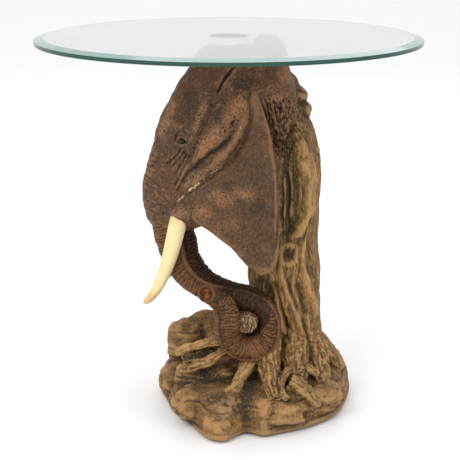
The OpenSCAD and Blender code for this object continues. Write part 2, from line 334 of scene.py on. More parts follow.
class Clay:
    """A piece on the bench: an object whose points are moved one by one and by modifiers."""

    def __init__(self, obj: bpy.types.Object) -> None:
        """Takes an object whose origin is at the frame's origin.

        Args:
            obj: The mesh object.
        """
        self.obj = obj

    @classmethod
    def lattice(cls, name: str, around: int, along: int, place: Callable[[Array, Array], Array]) -> Clay:
        """Draws a sphere out into a long closed form, ring by ring.

        Args:
            name: The piece's name.
            around: Points in a ring.
            along: Rings from end to end.
            place: Gives points in millimetres from the share of the way along and the angle round.

        Returns:
            The closed form.
        """
        clear_selection()
        bpy.ops.mesh.primitive_uv_sphere_add(segments=around, ring_count=along + 1, radius=1)
        obj = bpy.context.object
        obj.name = obj.data.name = name
        piece = cls(obj)
        ball = piece.points()
        ring = np.round((1 - np.arccos(np.clip(ball[:, 2], -1, 1)) / math.pi) * (along + 1))
        share = np.clip((ring - 1) / (along - 1), 0, 1)
        angle = np.arctan2(ball[:, 1], ball[:, 0])
        made = place(share, angle)
        turn = np.linspace(-math.pi, math.pi, around, endpoint=False)
        for pole, end in ((0, 0.0), (along + 1, 1.0)):
            made[ring == pole] = place(np.full(around, end), turn).mean(axis=0)
        piece.set_points(made * MM)
        return piece

    @classmethod
    def blank(
        cls,
        name: str,
        radius: float,
        low: float,
        high: float,
        facets: int,
        at: tuple[float, float] = (0.0, 0.0),
    ) -> Clay:
        """Saws a round blank to be shaped further, in metres.

        Args:
            name: The piece's name.
            radius: Its radius.
            low: Height of its lower face.
            high: Height of its upper face.
            facets: Sides of the round.
            at: Where its axis stands.

        Returns:
            The blank.
        """
        clear_selection()
        bpy.ops.mesh.primitive_cylinder_add(
            vertices=facets, radius=radius, depth=high - low, location=(*at, (low + high) / 2)
        )
        bpy.ops.object.transform_apply(location=True)
        piece = cls(bpy.context.object)
        piece.obj.name = name
        return piece

    def points(self) -> Array:
        """The points' places in metres, one row each.

        Returns:
            One row for each point.
        """
        co = np.empty(len(self.obj.data.vertices) * 3, np.float32)
        self.obj.data.vertices.foreach_get("co", co)
        return co.reshape(-1, 3).astype(float)

    def set_points(self, co: Array) -> None:
        """Puts the points at these places in metres."""
        self.obj.data.vertices.foreach_set("co", co.astype(np.float32).ravel())
        self.obj.data.update()

    def normals(self) -> Array:
        """The outward direction at each point.

        Returns:
            One unit row for each point.
        """
        n = np.empty(len(self.obj.data.vertices) * 3, np.float32)
        self.obj.data.vertex_normals.foreach_get("vector", n)
        return n.reshape(-1, 3).astype(float)

    def push(self, height: Array) -> None:
        """Moves each point outwards by its height in millimetres."""
        self.set_points(self.points() + self.normals() * (height * MM)[:, None])

    def modify(self, kind: str, **settings: object) -> None:
        """Adds a modifier and applies it at once.

        Args:
            kind: The modifier's type.
            **settings: Its settings by name.
        """
        choose(self.obj)
        modifier = self.obj.modifiers.new(kind.title(), kind)
        for name, value in settings.items():
            setattr(modifier, name, value)
        bpy.ops.object.modifier_apply(modifier=modifier.name)

    def fuse(self, *others: Clay, voxel: float, smooth: int = 3) -> None:
        """Presses other lumps of clay into this one, as one skin of even mesh.

        Args:
            *others: The lumps, which are used up.
            voxel: Size of the mesh, in millimetres.
            smooth: How many times the joins are smoothed over.
        """
        choose(self.obj, *(o.obj for o in others))
        if others:
            bpy.ops.object.join()
        self.modify("REMESH", mode="VOXEL", voxel_size=voxel * MM, adaptivity=0)
        if smooth:
            self.modify("SMOOTH", factor=0.5, iterations=smooth)

    def relief(self, reach: int = 10, height: float = 0.6) -> None:
        """Notes how far each point stands above or below the skin round it, for the paint's wash and painted
        shade in the hollows and its dry-brushing and painted highlight on what stands out.

        Args:
            reach: How widely the skin round it is averaged.
            height: Millimetres that count as full height.
        """
        co, mesh = self.points(), self.obj.data
        edges = np.empty(len(mesh.edges) * 2, np.int32)
        mesh.edges.foreach_get("vertices", edges)
        a, b = edges.reshape(-1, 2).T
        many = np.bincount(np.concatenate([a, b]), minlength=len(co))[:, None]
        soft, marks = co.copy(), []
        for turn in range(reach * 4):
            total = np.stack(
                [
                    np.bincount(a, soft[b, k], len(co)) + np.bincount(b, soft[a, k], len(co))
                    for k in range(3)
                ],
                axis=1,
            )
            soft = 0.35 * soft + 0.65 * total / np.maximum(many, 1)
            if turn + 1 in (reach, reach * 4):
                marks.append(np.einsum("ij,ij->i", co - soft, self.normals()) / (height * MM))
        fine, broad = marks
        self.note("relief", np.clip(0.5 + 0.35 * fine + 0.12 * broad, 0, 1))

    def note(self, name: str, value: Array) -> None:
        """Keeps a value at each point under a name that a material can read."""
        layer = self.obj.data.attributes.get(name) or self.obj.data.attributes.new(name, "FLOAT", "POINT")
        layer.data.foreach_set("value", value.astype(np.float32))

    def tint(self, at: Array, **paints: Sequence[Stroke | Lump]) -> None:
        """Notes where touches of each paint go.

        Args:
            at: The points in the plane or space that the touches are placed in.
            **paints: The touches of each paint, by its name.
        """
        for name, touches in paints.items():
            self.note(name, np.clip(worked(touches, at), 0, 1))

    def finish(
        self, material: bpy.types.Material | None, body: str, slot: str, *nodes: str, sharp: float = 50
    ) -> bpy.types.Object:
        """Dresses the piece and fixes it to its body.

        Args:
            material: Its material, unless faces already have theirs.
            body: The body that it moves with.
            slot: Not used.
            *nodes: The CAD nodes that it stands for.
            sharp: Angle in degrees from which an edge stays crisp.

        Returns:
            The finished object.
        """
        choose(self.obj)
        bpy.ops.object.shade_smooth_by_angle(angle=math.radians(sharp))
        if not self.obj.data.materials:
            self.obj.data.materials.append(material)
        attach(self.obj, body)
        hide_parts(*nodes)
        LOG.info("%s: %d faces", self.obj.name, len(self.obj.data.polygons))
        return self.obj


@dataclass(frozen=True)
class Tube:
    """A round bar swept along a path.

    Attributes:
        path: Rows of x, y, z and radius, in millimetres.
        about: A direction that the path never runs along, from which the angle round it counts.
    """

    path: Sequence[tuple[float, float, float, float]]
    about: tuple[float, float, float] = (0.0, 0.0, 1.0)

    def length(self) -> float:
        """The path's length in millimetres."""
        return float(self._arc()[0][-1])

    def _arc(self) -> tuple[Array, Array]:
        """Length of the path up to each of many stations, and the stations.

        Returns:
            The lengths in millimetres, and the stations from 0 to 1.
        """
        stations = np.linspace(0, 1, 400)
        spots = along_rows(np.array(self.path, float), stations)[:, :3]
        steps = np.linalg.norm(np.diff(spots, axis=0), axis=1)
        return np.concatenate([[0.0], np.cumsum(steps)]), stations

    def _square_to(self, way: Array) -> tuple[Array, Array]:
        """The two directions square to the bar, from directions along it.

        Args:
            way: Directions along the bar.

        Returns:
            Unit rows to the side and to the top.
        """
        way = way / np.linalg.norm(way, axis=1)[:, None]
        side = np.cross(np.array(self.about), way)
        side /= np.linalg.norm(side, axis=1)[:, None]
        return side, np.cross(way, side)

    def nearest(self, at: Array) -> tuple[Array, Array, Array]:
        """How points lie beside the bar.

        Args:
            at: Points in millimetres.

        Returns:
            Each point's distance from the bar's surface, the length along the bar, and the angle.
        """
        arc, stations = self._arc()
        rows = along_rows(np.array(self.path, float), stations[::8])
        off = at[:, None, :] - rows[None, :, :3]
        gap = np.linalg.norm(off, axis=2) - rows[None, :, 3]
        best = gap.argmin(axis=1)
        side, top = self._square_to(np.gradient(rows[:, :3], axis=0)[best])
        out = off[np.arange(len(at)), best]
        angle = np.arctan2((out * top).sum(axis=1), (out * side).sum(axis=1))
        return gap.min(axis=1), arc[::8][best], angle

    def place(
        self, share: Array, angle: Array, relief: Callable[[Array, Array], Array] | None = None
    ) -> Array:
        """Points on the bar.

        Args:
            share: Share of the length along the bar.
            angle: Angle round it.
            relief: Gives the height of the surface above the plain bar, in millimetres, from the
                length along the bar and the angle.

        Returns:
            Points in millimetres.
        """
        arc, stations = self._arc()
        rows = np.array(self.path, float)
        t = np.interp(share * arc[-1], arc, stations)
        spot = along_rows(rows, t)
        ahead, behind = (along_rows(rows, t + step)[:, :3] for step in (0.004, -0.004))
        side, top = self._square_to(ahead - behind)
        radius = spot[:, 3] + (relief(share * arc[-1], angle) if relief else 0)
        out = side * np.cos(angle)[:, None] + top * np.sin(angle)[:, None]
        return spot[:, :3] + out * radius[:, None]

    def clay(self, name: str, around: int = 20, step: float = 3.0) -> Clay:
        """The bar as a plain closed form, to be pressed into another.

        Args:
            name: Its name.
            around: Points in a ring.
            step: Distance between rings, in millimetres.

        Returns:
            The bar.
        """
        return Clay.lattice(name, around, max(6, int(self.length() / step)), self.place)


# ---- Finishes ----


class Shader:
    """A node tree under construction, ending in one principled shader."""

    def __init__(self, name: str) -> None:
        """Starts an empty material.

        Args:
            name: The material's name.
        """
        self.material = bpy.data.materials.new(name)
        self.material.use_nodes = True
        self.tree = self.material.node_tree
        self.shader = self.tree.nodes["Principled BSDF"]
        self.spot = self.add("ShaderNodeTexCoord").outputs["Object"]

    def add(self, kind: str, **settings: object) -> bpy.types.Node:
        """Adds a node with these settings.

        Args:
            kind: The node's type.
            **settings: Its settings by name.

        Returns:
            The node.
        """
        node = self.tree.nodes.new(kind)
        for name, value in settings.items():
            setattr(node, name, value)
        return node

    def link(self, out: bpy.types.NodeSocket, into: bpy.types.NodeSocket) -> None:
        """Joins one socket to another."""
        self.tree.links.new(out, into)

    def set(self, **values: object) -> None:
        """Sets sockets of the principled shader by name, with _ for a space.

        Args:
            **values: The values by socket.
        """
        for name, value in values.items():
            socket = self.shader.inputs[name.replace("_", " ")]
            socket.default_value = (*value, 1.0) if isinstance(value, tuple) else value

    def stretched(self, scale: Colour, lean: float = 0.0) -> bpy.types.NodeSocket:
        """Object coordinates multiplied along the three axes, then leant about the Y axis.

        Args:
            scale: Factors along the axes.
            lean: Angle in degrees.

        Returns:
            The coordinates.
        """
        node = self.add("ShaderNodeMapping", vector_type="TEXTURE" if lean else "POINT")
        node.inputs["Scale"].default_value = tuple(1 / f for f in scale) if lean else scale
        node.inputs["Rotation"].default_value[1] = math.radians(lean)
        self.link(self.spot, node.inputs["Vector"])
        return node.outputs["Vector"]

    def noise(
        self, scale: float, detail: float = 4, rough: float = 0.55, at: bpy.types.NodeSocket | None = None
    ) -> bpy.types.NodeSocket:
        """A noise texture's grey value.

        Args:
            scale: Cells to the metre.
            detail: How many finer layers it has.
            rough: How strong the finer layers are.
            at: Coordinates, or the object's own.

        Returns:
            The grey value.
        """
        node = self.add("ShaderNodeTexNoise")
        for name, value in (("Scale", scale), ("Detail", detail), ("Roughness", rough)):
            node.inputs[name].default_value = value
        self.link(at or self.spot, node.inputs["Vector"])
        return node.outputs["Fac"]

    def pebbles(self, scale: float) -> bpy.types.NodeSocket:
        """Distance to the nearest of many scattered points, as small rounded grains.

        Args:
            scale: Points to the metre.

        Returns:
            The distance.
        """
        node = self.add("ShaderNodeTexVoronoi", feature="SMOOTH_F1")
        node.inputs["Scale"].default_value = scale
        self.link(self.spot, node.inputs["Vector"])
        return node.outputs["Distance"]

    def noted(self, name: str) -> bpy.types.NodeSocket:
        """A value that the piece keeps at its points."""
        return self.add("ShaderNodeAttribute", attribute_name=name).outputs["Fac"]

    def ramp(self, value: bpy.types.NodeSocket, low: float, high: float) -> bpy.types.NodeSocket:
        """Stretches a value so that low gives 0 and high gives 1, eased at both ends.

        Args:
            value: The value.
            low: What gives 0.
            high: What gives 1.

        Returns:
            The stretched value.
        """
        node = self.add("ShaderNodeMapRange", interpolation_type="SMOOTHSTEP")
        node.inputs["From Min"].default_value = low
        node.inputs["From Max"].default_value = high
        self.link(value, node.inputs["Value"])
        return node.outputs["Result"]

    def maths(
        self, work: str, a: bpy.types.NodeSocket, b: bpy.types.NodeSocket | float
    ) -> bpy.types.NodeSocket:
        """A sum, product or other operation on two values.

        Args:
            work: The kind of operation.
            a: The first value.
            b: The second value, or a number.

        Returns:
            The result.
        """
        node = self.add("ShaderNodeMath", operation=work)
        self.link(a, node.inputs[0])
        if isinstance(b, bpy.types.NodeSocket):
            self.link(b, node.inputs[1])
        else:
            node.inputs[1].default_value = b
        return node.outputs["Value"]

    def swing(self, value: bpy.types.NodeSocket, strength: float) -> bpy.types.NodeSocket:
        """Turns a grey value into a swing about 0, this strong."""
        return self.maths("MULTIPLY", self.maths("SUBTRACT", value, 0.5), strength)

    def mix(
        self,
        factor: bpy.types.NodeSocket,
        under: bpy.types.NodeSocket | Colour,
        over: bpy.types.NodeSocket | Colour,
    ) -> bpy.types.NodeSocket:
        """Lays one colour over another by a factor.

        Args:
            factor: How far it covers.
            under: The lower colour.
            over: The upper colour.

        Returns:
            The mixed colour.
        """
        node = self.add("ShaderNodeMix", data_type="RGBA")
        self.link(factor, node.inputs["Factor"])
        for name, value in (("A", under), ("B", over)):
            socket = next(s for s in node.inputs if s.name == name and s.type == "RGBA")
            if isinstance(value, tuple):
                socket.default_value = (*value, 1.0)
            else:
                self.link(value, socket)
        return next(s for s in node.outputs if s.type == "RGBA")

    def bump(self, height: bpy.types.NodeSocket, distance: float, strength: float = 1.0) -> None:
        """Roughens the surface by a height map; a later call adds to an earlier one.

        Args:
            height: The height map.
            distance: Its full height, in metres.
            strength: Share of it that shows.
        """
        node = self.add("ShaderNodeBump")
        node.inputs["Distance"].default_value = distance
        node.inputs["Strength"].default_value = strength
        self.link(height, node.inputs["Height"])
        into = self.shader.inputs["Normal"]
        if into.links:
            self.link(into.links[0].from_socket, node.inputs["Normal"])
        self.link(node.outputs["Normal"], into)


@dataclass(frozen=True)
class PaintedResin:
    """Cast resin painted by hand: patches, touches of warm and dark paint, a wash in the hollows; the wash,
    the dry-brushing and some of the touches also serve as painted shade and painted highlight.

    Attributes:
        name: The material's name.
        base: The main colour.
        second: A second colour in large patches.
        blush: A third colour in smaller patches.
        stain: The dark stain, in a few places, and where the piece notes it partly stains and partly painted
            shade in hollows, cracks and under the roots.
        wash: The dark wash in fine flecks and pits and settled in the hollows, where it is partly a painted
            shade.
        top: The paler paint dry-brushed on what stands out, partly a painted highlight.
        warm: The warm paint where the piece notes it, partly a painted highlight on raised parts and the lit
            sides.
        deep: The painted shade where the piece notes it.
        chalk: The palest touches, partly a painted highlight on sharp edges and a painted glint by the eye.
        patch: Patches to the metre.
        pebble: Grains of the surface to the metre.
        grain: Stretch of the fine pattern along the three axes, below 1 for long streaks.
        lean: Angle in degrees that the streaks lean about the Y axis.
        rough: Roughness.
        top_share: Strength of the dry-brushing, partly a painted highlight.
        wash_share: Strength of the wash in the hollows, partly a painted shade.
        pits: Strength of the dark pits in the warm paint.
        depth: Depth of the fine grain, in metres.
    """

    name: str
    base: Colour
    second: Colour
    blush: Colour
    stain: Colour
    wash: Colour
    top: Colour
    warm: Colour
    deep: Colour
    chalk: Colour
    patch: float = 16
    pebble: float = 620
    grain: Colour = (1.0, 1.0, 1.0)
    lean: float = 0.0
    rough: float = 0.55
    top_share: float = 0.5
    wash_share: float = 0.8
    pits: float = 0.7
    depth: float = 0.0008

    def build(self) -> bpy.types.Material:
        """Makes the material.

        Returns:
            The material.
        """
        s = Shader(self.name)
        lay = s.stretched(self.grain, self.lean)
        broad = s.noise(self.patch, 3, 0.5)
        patches = s.noise(self.patch * 1.3 + 3, 4, 0.5)
        spots = s.noise(self.patch * 2.7, 5, 0.6, lay)
        fleck = s.noise(self.patch * 22, 6, 0.65, lay)
        speck = s.noise(self.pebble, 4, 0.7, lay)
        pit = s.maths("MULTIPLY", s.ramp(s.noise(self.pebble * 0.8, 2, 0.5), 0.56, 0.66), self.pits)
        loose = s.swing(spots, 1.1)
        # warm touches are partly painted highlight, dark touches partly painted shade
        warm, dark, deep = (
            s.ramp(s.maths("ADD", s.noted(name), loose), low, high)
            for name, low, high in (("warm", 0.15, 0.85), ("dark", 0.12, 0.8), ("deep", 0.12, 0.7))
        )
        height = s.maths("ADD", s.noted("relief"), s.swing(fleck, 0.4))
        stands_out = s.maths("MULTIPLY", s.ramp(height, 0.58, 0.95), self.top_share)
        # the painted highlight is held back where the painted shade lies
        lit = s.maths("ADD", s.maths("MULTIPLY", deep, -0.8), 1.0)
        colour = s.mix(s.ramp(broad, 0.36, 0.64), self.base, self.second)
        for coat, where, share in (
            (self.blush, s.ramp(spots, 0.5, 0.72), 0.6),
            (self.warm, warm, 0.85),
            (self.stain, s.ramp(patches, 0.62, 0.74), 0.5),
            # stains, and painted shade where the piece notes it in hollows, cracks and under the roots
            (self.stain, dark, 0.88),
            # painted shade
            (self.deep, deep, 0.95),
            (self.wash, s.ramp(fleck, 0.46, 0.62), 0.5),
            (self.wash, s.ramp(speck, 0.5, 0.64), 0.5),
            (self.top, s.ramp(speck, 0.46, 0.34), 0.5),
            (self.wash, pit, s.maths("ADD", warm, 0.25)),
            # the wash in the hollows, partly a painted shade
            (self.wash, s.ramp(height, 0.44, 0.12), self.wash_share),
            # the dry-brushing on what stands out, partly a painted highlight
            (self.top, stands_out, lit),
        ):
            colour = s.mix(s.maths("MULTIPLY", where, share), colour, coat)
        # the palest touches, partly a painted highlight and a painted glint
        chalk = s.ramp(s.maths("ADD", s.noted("chalk"), s.swing(fleck, 2.4)), 0.5, 0.85)
        colour = s.mix(chalk, colour, self.chalk)
        s.link(colour, s.shader.inputs["Base Color"])
        s.link(
            s.maths("ADD", s.maths("MULTIPLY", fleck, 0.3), self.rough - 0.15),
            s.shader.inputs["Roughness"],
        )
        s.set(Specular_IOR_Level=0.2)
        s.bump(s.pebbles(self.pebble), self.depth * 0.7, 0.45)
        s.bump(s.noise(self.pebble * 0.45, 5, 0.6, lay), self.depth, 0.55)
        return s.material


@dataclass(frozen=True)
class Ivory:
    """Ivory-coloured resin, smooth and faintly streaked, yellower towards root and tip."""

    name: str = "ivory_resin"
    pale: Colour = paint(232, 212, 158)
    warm: Colour = paint(206, 172, 106)

    def build(self) -> bpy.types.Material:
        """Makes the material.

        Returns:
            The material.
        """
        s = Shader(self.name)
        streak = s.noise(90, 4, 0.5, s.stretched((3.0, 3.0, 0.35)))
        share = s.maths("ADD", s.noted("age"), s.swing(streak, 0.5))
        s.link(s.mix(s.ramp(share, 0.25, 1.1), self.pale, self.warm), s.shader.inputs["Base Color"])
        s.set(Roughness=0.36, Coat_Weight=0.25, Coat_Roughness=0.25, Subsurface_Weight=0.12)
        s.set(Subsurface_Scale=0.003)
        s.bump(s.noise(260, 3, 0.5, s.stretched((2.0, 2.0, 0.4))), 0.0002, 0.4)
        return s.material


@dataclass(frozen=True)
class Glass:
    """Clear or tinted glass.

    Attributes:
        name: The material's name.
        tint: Colour of the light that passes.
        rough: Roughness of the surface.
        bend: Refractive index.
        veil: Share of the surface that is an opaque film of the tint, from 0 to 1: on the pane a painted
            reflection of the pale room, on the bevel the painted green of the edge seen through it, on the
            edge the glass's own green.
    """

    name: str
    tint: Colour
    rough: float = 0.0
    bend: float = 1.5
    veil: float = 0.0

    def build(self) -> bpy.types.Material:
        """Makes the material.

        Returns:
            The material.
        """
        s = Shader(self.name)
        streaks = s.ramp(s.noise(7, 2, 0.5), 0.3, 0.7)
        fainter = tuple(c * 0.985 for c in self.tint)
        s.link(s.mix(streaks, self.tint, fainter), s.shader.inputs["Base Color"])
        s.set(Roughness=self.rough, IOR=self.bend, Transmission_Weight=1.0 - self.veil)
        return s.material


@dataclass(frozen=True)
class Metal:
    """Bare metal with a brushed, turned or plated surface.

    Attributes:
        name: The material's name.
        colour: The metal's colour.
        rough: Roughness.
        marks: Depth of the tool marks, in metres.
        scale: Tool marks to the metre.
    """

    name: str
    colour: Colour
    rough: float
    marks: float = 0.00002
    scale: float = 900

    def build(self) -> bpy.types.Material:
        """Makes the material.

        Returns:
            The material.
        """
        s = Shader(self.name)
        fine = s.noise(self.scale, 3, 0.6, s.stretched((1.0, 1.0, 6.0)))
        darker = tuple(c * 0.86 for c in self.colour)
        s.link(s.mix(s.ramp(s.noise(40, 3), 0.4, 0.65), self.colour, darker), s.shader.inputs["Base Color"])
        s.link(
            s.maths("ADD", s.maths("MULTIPLY", fine, 0.12), self.rough - 0.05),
            s.shader.inputs["Roughness"],
        )
        s.set(Metallic=1.0)
        s.bump(fine, self.marks, 0.6)
        return s.material


@dataclass(frozen=True)
class Plain:
    """A simple dull material with a speckle and a fine grain: rubber, felt or board.

    Attributes:
        name: The material's name.
        dark: One of its two colours.
        light: The other.
        scale: Speckles to the metre.
        rough: Roughness.
        depth: Depth of the grain, in metres.
        fuzz: Sheen of loose fibres, from 0 to 1.
    """

    name: str
    dark: Colour
    light: Colour
    scale: float
    rough: float
    depth: float
    fuzz: float = 0.0

    def build(self) -> bpy.types.Material:
        """Makes the material.

        Returns:
            The material.
        """
        s = Shader(self.name)
        speck = s.noise(self.scale, 5, 0.7)
        s.link(s.mix(s.ramp(speck, 0.35, 0.65), self.dark, self.light), s.shader.inputs["Base Color"])
        s.set(Roughness=self.rough, Sheen_Weight=self.fuzz)
        s.bump(speck, self.depth, 0.7)
        return s.material


@dataclass(frozen=True)
class EyeGlass:
    """A glass eye: black pupil, orange-brown iris and dark rim, by the noted distance from its middle."""

    name: str = "glass_eye"
    pupil: Colour = (0.002, 0.0015, 0.001)
    iris: Colour = paint(84, 48, 24)
    rim: Colour = paint(22, 14, 10)

    def build(self) -> bpy.types.Material:
        """Makes the material.

        Returns:
            The material.
        """
        s = Shader(self.name)
        ring = s.noted("ring")
        ray = s.noise(900, 3, 0.6)
        iris = s.mix(s.ramp(ray, 0.35, 0.7), self.iris, self.rim)
        colour = s.mix(s.ramp(ring, 0.6, 0.68), self.pupil, iris)
        colour = s.mix(s.ramp(ring, 0.72, 0.8), colour, self.rim)
        s.link(colour, s.shader.inputs["Base Color"])
        s.set(Roughness=0.22, Specular_IOR_Level=0.25, Coat_Weight=0.25, Coat_Roughness=0.06)
        return s.material


SKIN = PaintedResin(
    "painted_skin",
    base=paint(95, 66, 43),
    second=paint(84, 64, 45),
    blush=paint(102, 68, 44),
    stain=paint(58, 52, 36),
    wash=paint(36, 21, 12),
    top=paint(150, 110, 76),
    warm=paint(158, 112, 74),
    deep=paint(62, 33, 20),
    chalk=paint(200, 170, 140),
    grain=(1.6, 1.6, 0.5),
    lean=-28,
    pebble=480,
    top_share=0.55,
    wash_share=0.95,
    pits=1.0,
)
TRUNK_SKIN = PaintedResin(
    "painted_trunk_skin",
    base=paint(82, 52, 28),
    second=paint(70, 46, 25),
    blush=paint(98, 58, 32),
    stain=paint(40, 32, 20),
    wash=paint(30, 16, 8),
    top=paint(124, 86, 50),
    warm=paint(132, 86, 54),
    deep=paint(34, 17, 10),
    chalk=paint(140, 74, 36),
    patch=26,
    top_share=0.6,
    pits=0.2,
)
BARK = PaintedResin(
    "painted_bark",
    base=paint(132, 98, 58),
    second=paint(110, 83, 48),
    blush=paint(128, 88, 54),
    stain=paint(66, 60, 38),
    wash=paint(54, 37, 20),
    top=paint(192, 154, 100),
    warm=paint(178, 132, 78),
    deep=paint(50, 34, 20),
    chalk=paint(196, 164, 110),
    patch=15,
    pebble=460,
    grain=(1.0, 1.0, 0.3),
    rough=0.66,
    pits=0.25,
)
ROCK = PaintedResin(
    "painted_rock",
    base=paint(124, 92, 56),
    second=paint(102, 78, 50),
    blush=paint(124, 85, 56),
    stain=paint(60, 54, 40),
    wash=paint(50, 36, 22),
    top=paint(182, 144, 94),
    warm=paint(168, 124, 74),
    deep=paint(40, 34, 26),
    chalk=paint(186, 152, 104),
    patch=14,
    pebble=420,
    rough=0.7,
    pits=0.35,
)
STUB = PaintedResin(
    "pale_wood_paint",
    base=paint(122, 96, 68),
    second=paint(94, 68, 46),
    blush=paint(142, 112, 80),
    stain=paint(70, 54, 38),
    wash=paint(38, 24, 14),
    top=paint(174, 142, 106),
    warm=paint(150, 108, 70),
    deep=paint(36, 22, 14),
    chalk=paint(190, 162, 128),
    patch=60,
    rough=0.7,
    top_share=0.8,
)


# ---- Head ----


@dataclass
class HeadFrame:
    """The head's own frame, turned about the vertical from the table's frame."""

    yaw: float = math.radians(-10)

    def inward(self, co: Array) -> Array:
        """Points in the head's frame, in millimetres, from points of the table in metres.

        Args:
            co: Points in metres.

        Returns:
            Points in the head's frame.
        """
        c, s = math.cos(-self.yaw), math.sin(-self.yaw)
        x, y = co[:, 0] / MM, co[:, 1] / MM
        return np.stack([x * c - y * s, x * s + y * c, co[:, 2] / MM], axis=1)

    def outward(self, at: Array) -> Array:
        """The same way back, with both in millimetres."""
        c, s = math.cos(self.yaw), math.sin(self.yaw)
        return np.stack([at[:, 0] * c - at[:, 1] * s, at[:, 0] * s + at[:, 1] * c, at[:, 2]], axis=1)


@dataclass
class Head:
    """The head, its ears, eyes and tusks.

    Attributes:
        turned: The head's frame.
        sections: Rows of height, front, back, half width and narrowing of the front.
        ear_rows: Rows of height, front edge x and y, and back edge x and y, of the left ear.
        tusk: The left tusk's path.
        eye: The left eye's centre.
        eye_size: The eyeball's radius.
        gaze: The way that the left eye looks.
        voxel: Size of the skin's mesh.
        ear_voxel: Size of an ear's mesh.
    """

    turned: HeadFrame = field(default_factory=HeadFrame)
    sections: Sequence[tuple[float, ...]] = (
        (237, -101, -50, 24, 0.10), (246, -107, -34, 34, 0.12), (258, -113, 2, 43, 0.16),
        (280, -117, 40, 49, 0.22), (305, -116, 58, 51, 0.30), (330, -110, 69, 53, 0.32),
        (354, -102, 77, 56, 0.30), (376, -97, 83, 59, 0.28), (397, -88, 89, 60, 0.22),
        (420, -76, 90, 59, 0.16), (440, -65, 86, 55, 0.10), (460, -50, 76, 48, 0.05),
        (474, -36, 57, 38, 0.0), (480, -27, 42, 29, 0.0),
    )
    ear_rows: Sequence[tuple[float, ...]] = (
        (203, 50, -71, 62, -73), (207, 42, -69, 69, -74), (213, 34, -68, 73, -75),
        (221, 27, -66, 76, -75), (233, 14, -63, 78, -75), (247, -8, -57, 79, -74),
        (258, -30, -50, 80, -74), (268, -42, -46, 80, -74), (280, -50, -43, 79, -73),
        (291, -50, -43, 78, -73), (304, -38, -46, 77, -72), (319, -18, -50, 76, -71),
        (334, 0, -53, 75, -70), (350, 15, -55, 72, -69), (366, 22, -56, 69, -68),
        (386, 27, -57, 65, -66), (406, 32, -58, 58, -63), (424, 35, -57, 51, -60),
        (438, 39, -53, 45, -55),
    )
    tusk: Sequence[tuple[float, ...]] = (
        (-50, -28, 292, 11.5), (-60, -37, 262, 12), (-66, -43, 233, 11.4), (-73, -48, 205, 10),
        (-84, -52, 176, 8), (-95, -55, 158, 6), (-105, -57, 149, 3.2),
    )
    eye: tuple[float, float, float] = (-54, -38.5, 367)
    eye_size: float = 4.3
    gaze: tuple[float, float, float] = (-0.42, -0.9, 0.1)
    voxel: float = 1.5
    ear_voxel: float = 1.4

    STROKES = (
        # the long groove behind the forehead, the temple's band and the fold beneath it
        Stroke(((18, 468), (6, 454), (1, 446), (-7, 431)), 1.9, -3.0),
        Stroke(((-7, 431), (-14, 417), (-21, 403), (-29, 382), (-38, 355), (-52, 328)), 6.5, -1.6),
        Stroke(((40, 452), (25, 422), (4, 396), (-10, 376), (-27, 354), (-44, 330), (-58, 308)), 10, 3.8),
        Stroke(((24, 398), (14, 378), (3, 366), (-12, 357), (-26, 345), (-43, 328), (-56, 308)), 4, -2.2),
        # the smooth band whose lower edge overhangs the ear
        Stroke(
            ((38, 430), (33, 408), (22, 384), (8, 360), (-8, 342), (-26, 326), (-44, 309), (-58, 295)), 9, 5.6
        ),
        # lids and the folds round the eye
        Stroke(((-62, 368), (-58, 370.5), (-52, 371), (-46, 368)), 1.6, 1.7),
        Stroke(((-61, 364), (-56, 362), (-50, 362.5), (-46, 365)), 1.6, 1.0),
        Stroke(((-66, 364), (-60, 377), (-49, 379), (-41, 372)), 1.6, -0.8),
        Stroke(((-56, 358), (-62, 348), (-72, 338), (-80, 332)), 1.4, -1.2),
        Stroke(((-50, 356), (-58, 344), (-70, 330)), 1.3, -0.9),
        Stroke(((-48, 352), (-54, 340), (-66, 318)), 1.4, -1.0),
        Stroke(((-44, 348), (-52, 330), (-66, 304)), 1.5, -1.0),
        Stroke(((-38, 342), (-50, 320), (-64, 296)), 1.5, -0.8),
    )
    LUMPS = (
        Lump((-62, 386), (18, 10), 2.6),
        Lump((-54, 366.5), (6, 4.5), -2.2),
        Lump((-44, 424), (13, 20), -3.6),
        Lump((-66, 412), (10, 20), 1.8),
        Lump((-57, 270), (15, 13), 7.5),
        Lump((-76, 300), (16, 24), 2.0),
        Lump((8, 440), (12, 16), 2.0),
        Lump((62, 440), (16, 14), 2.0),
    )
    # warm paint on the temple's band, the brow and the top of the head, partly a painted highlight
    WARM = (
        brushed(((25, 419), (4, 395), (-10, 376), (-25, 358)), 12, 1.0),
        brushed(((-68, 412), (-74, 400), (-80, 388), (-86, 374)), 8, 0.9),
        brushed(((-23, 416), (-29, 402), (-36, 385)), 6, 0.8),
        Lump((79, 452), (16, 12), 1.0),
        Lump((70, 424), (14, 8), 0.8),
        Lump((-100, 330), (16, 40), 0.35),
    )
    # darker paint: painted shade along the groove, in the hollows and behind the ear, with some darker
    # patches
    DARK = (
        Stroke(((-21, 403), (-29, 382), (-38, 355), (-52, 328)), 4, 0.3),
        Lump((-45, 420), (13, 22), 0.5),
        Lump((-4, 402), (20, 24), 0.55),
        Lump((66, 392), (10, 26), 0.5),
        Lump((-66, 354), (14, 12), 0.4),
        Lump((30, 445), (16, 9), 0.8),
    )
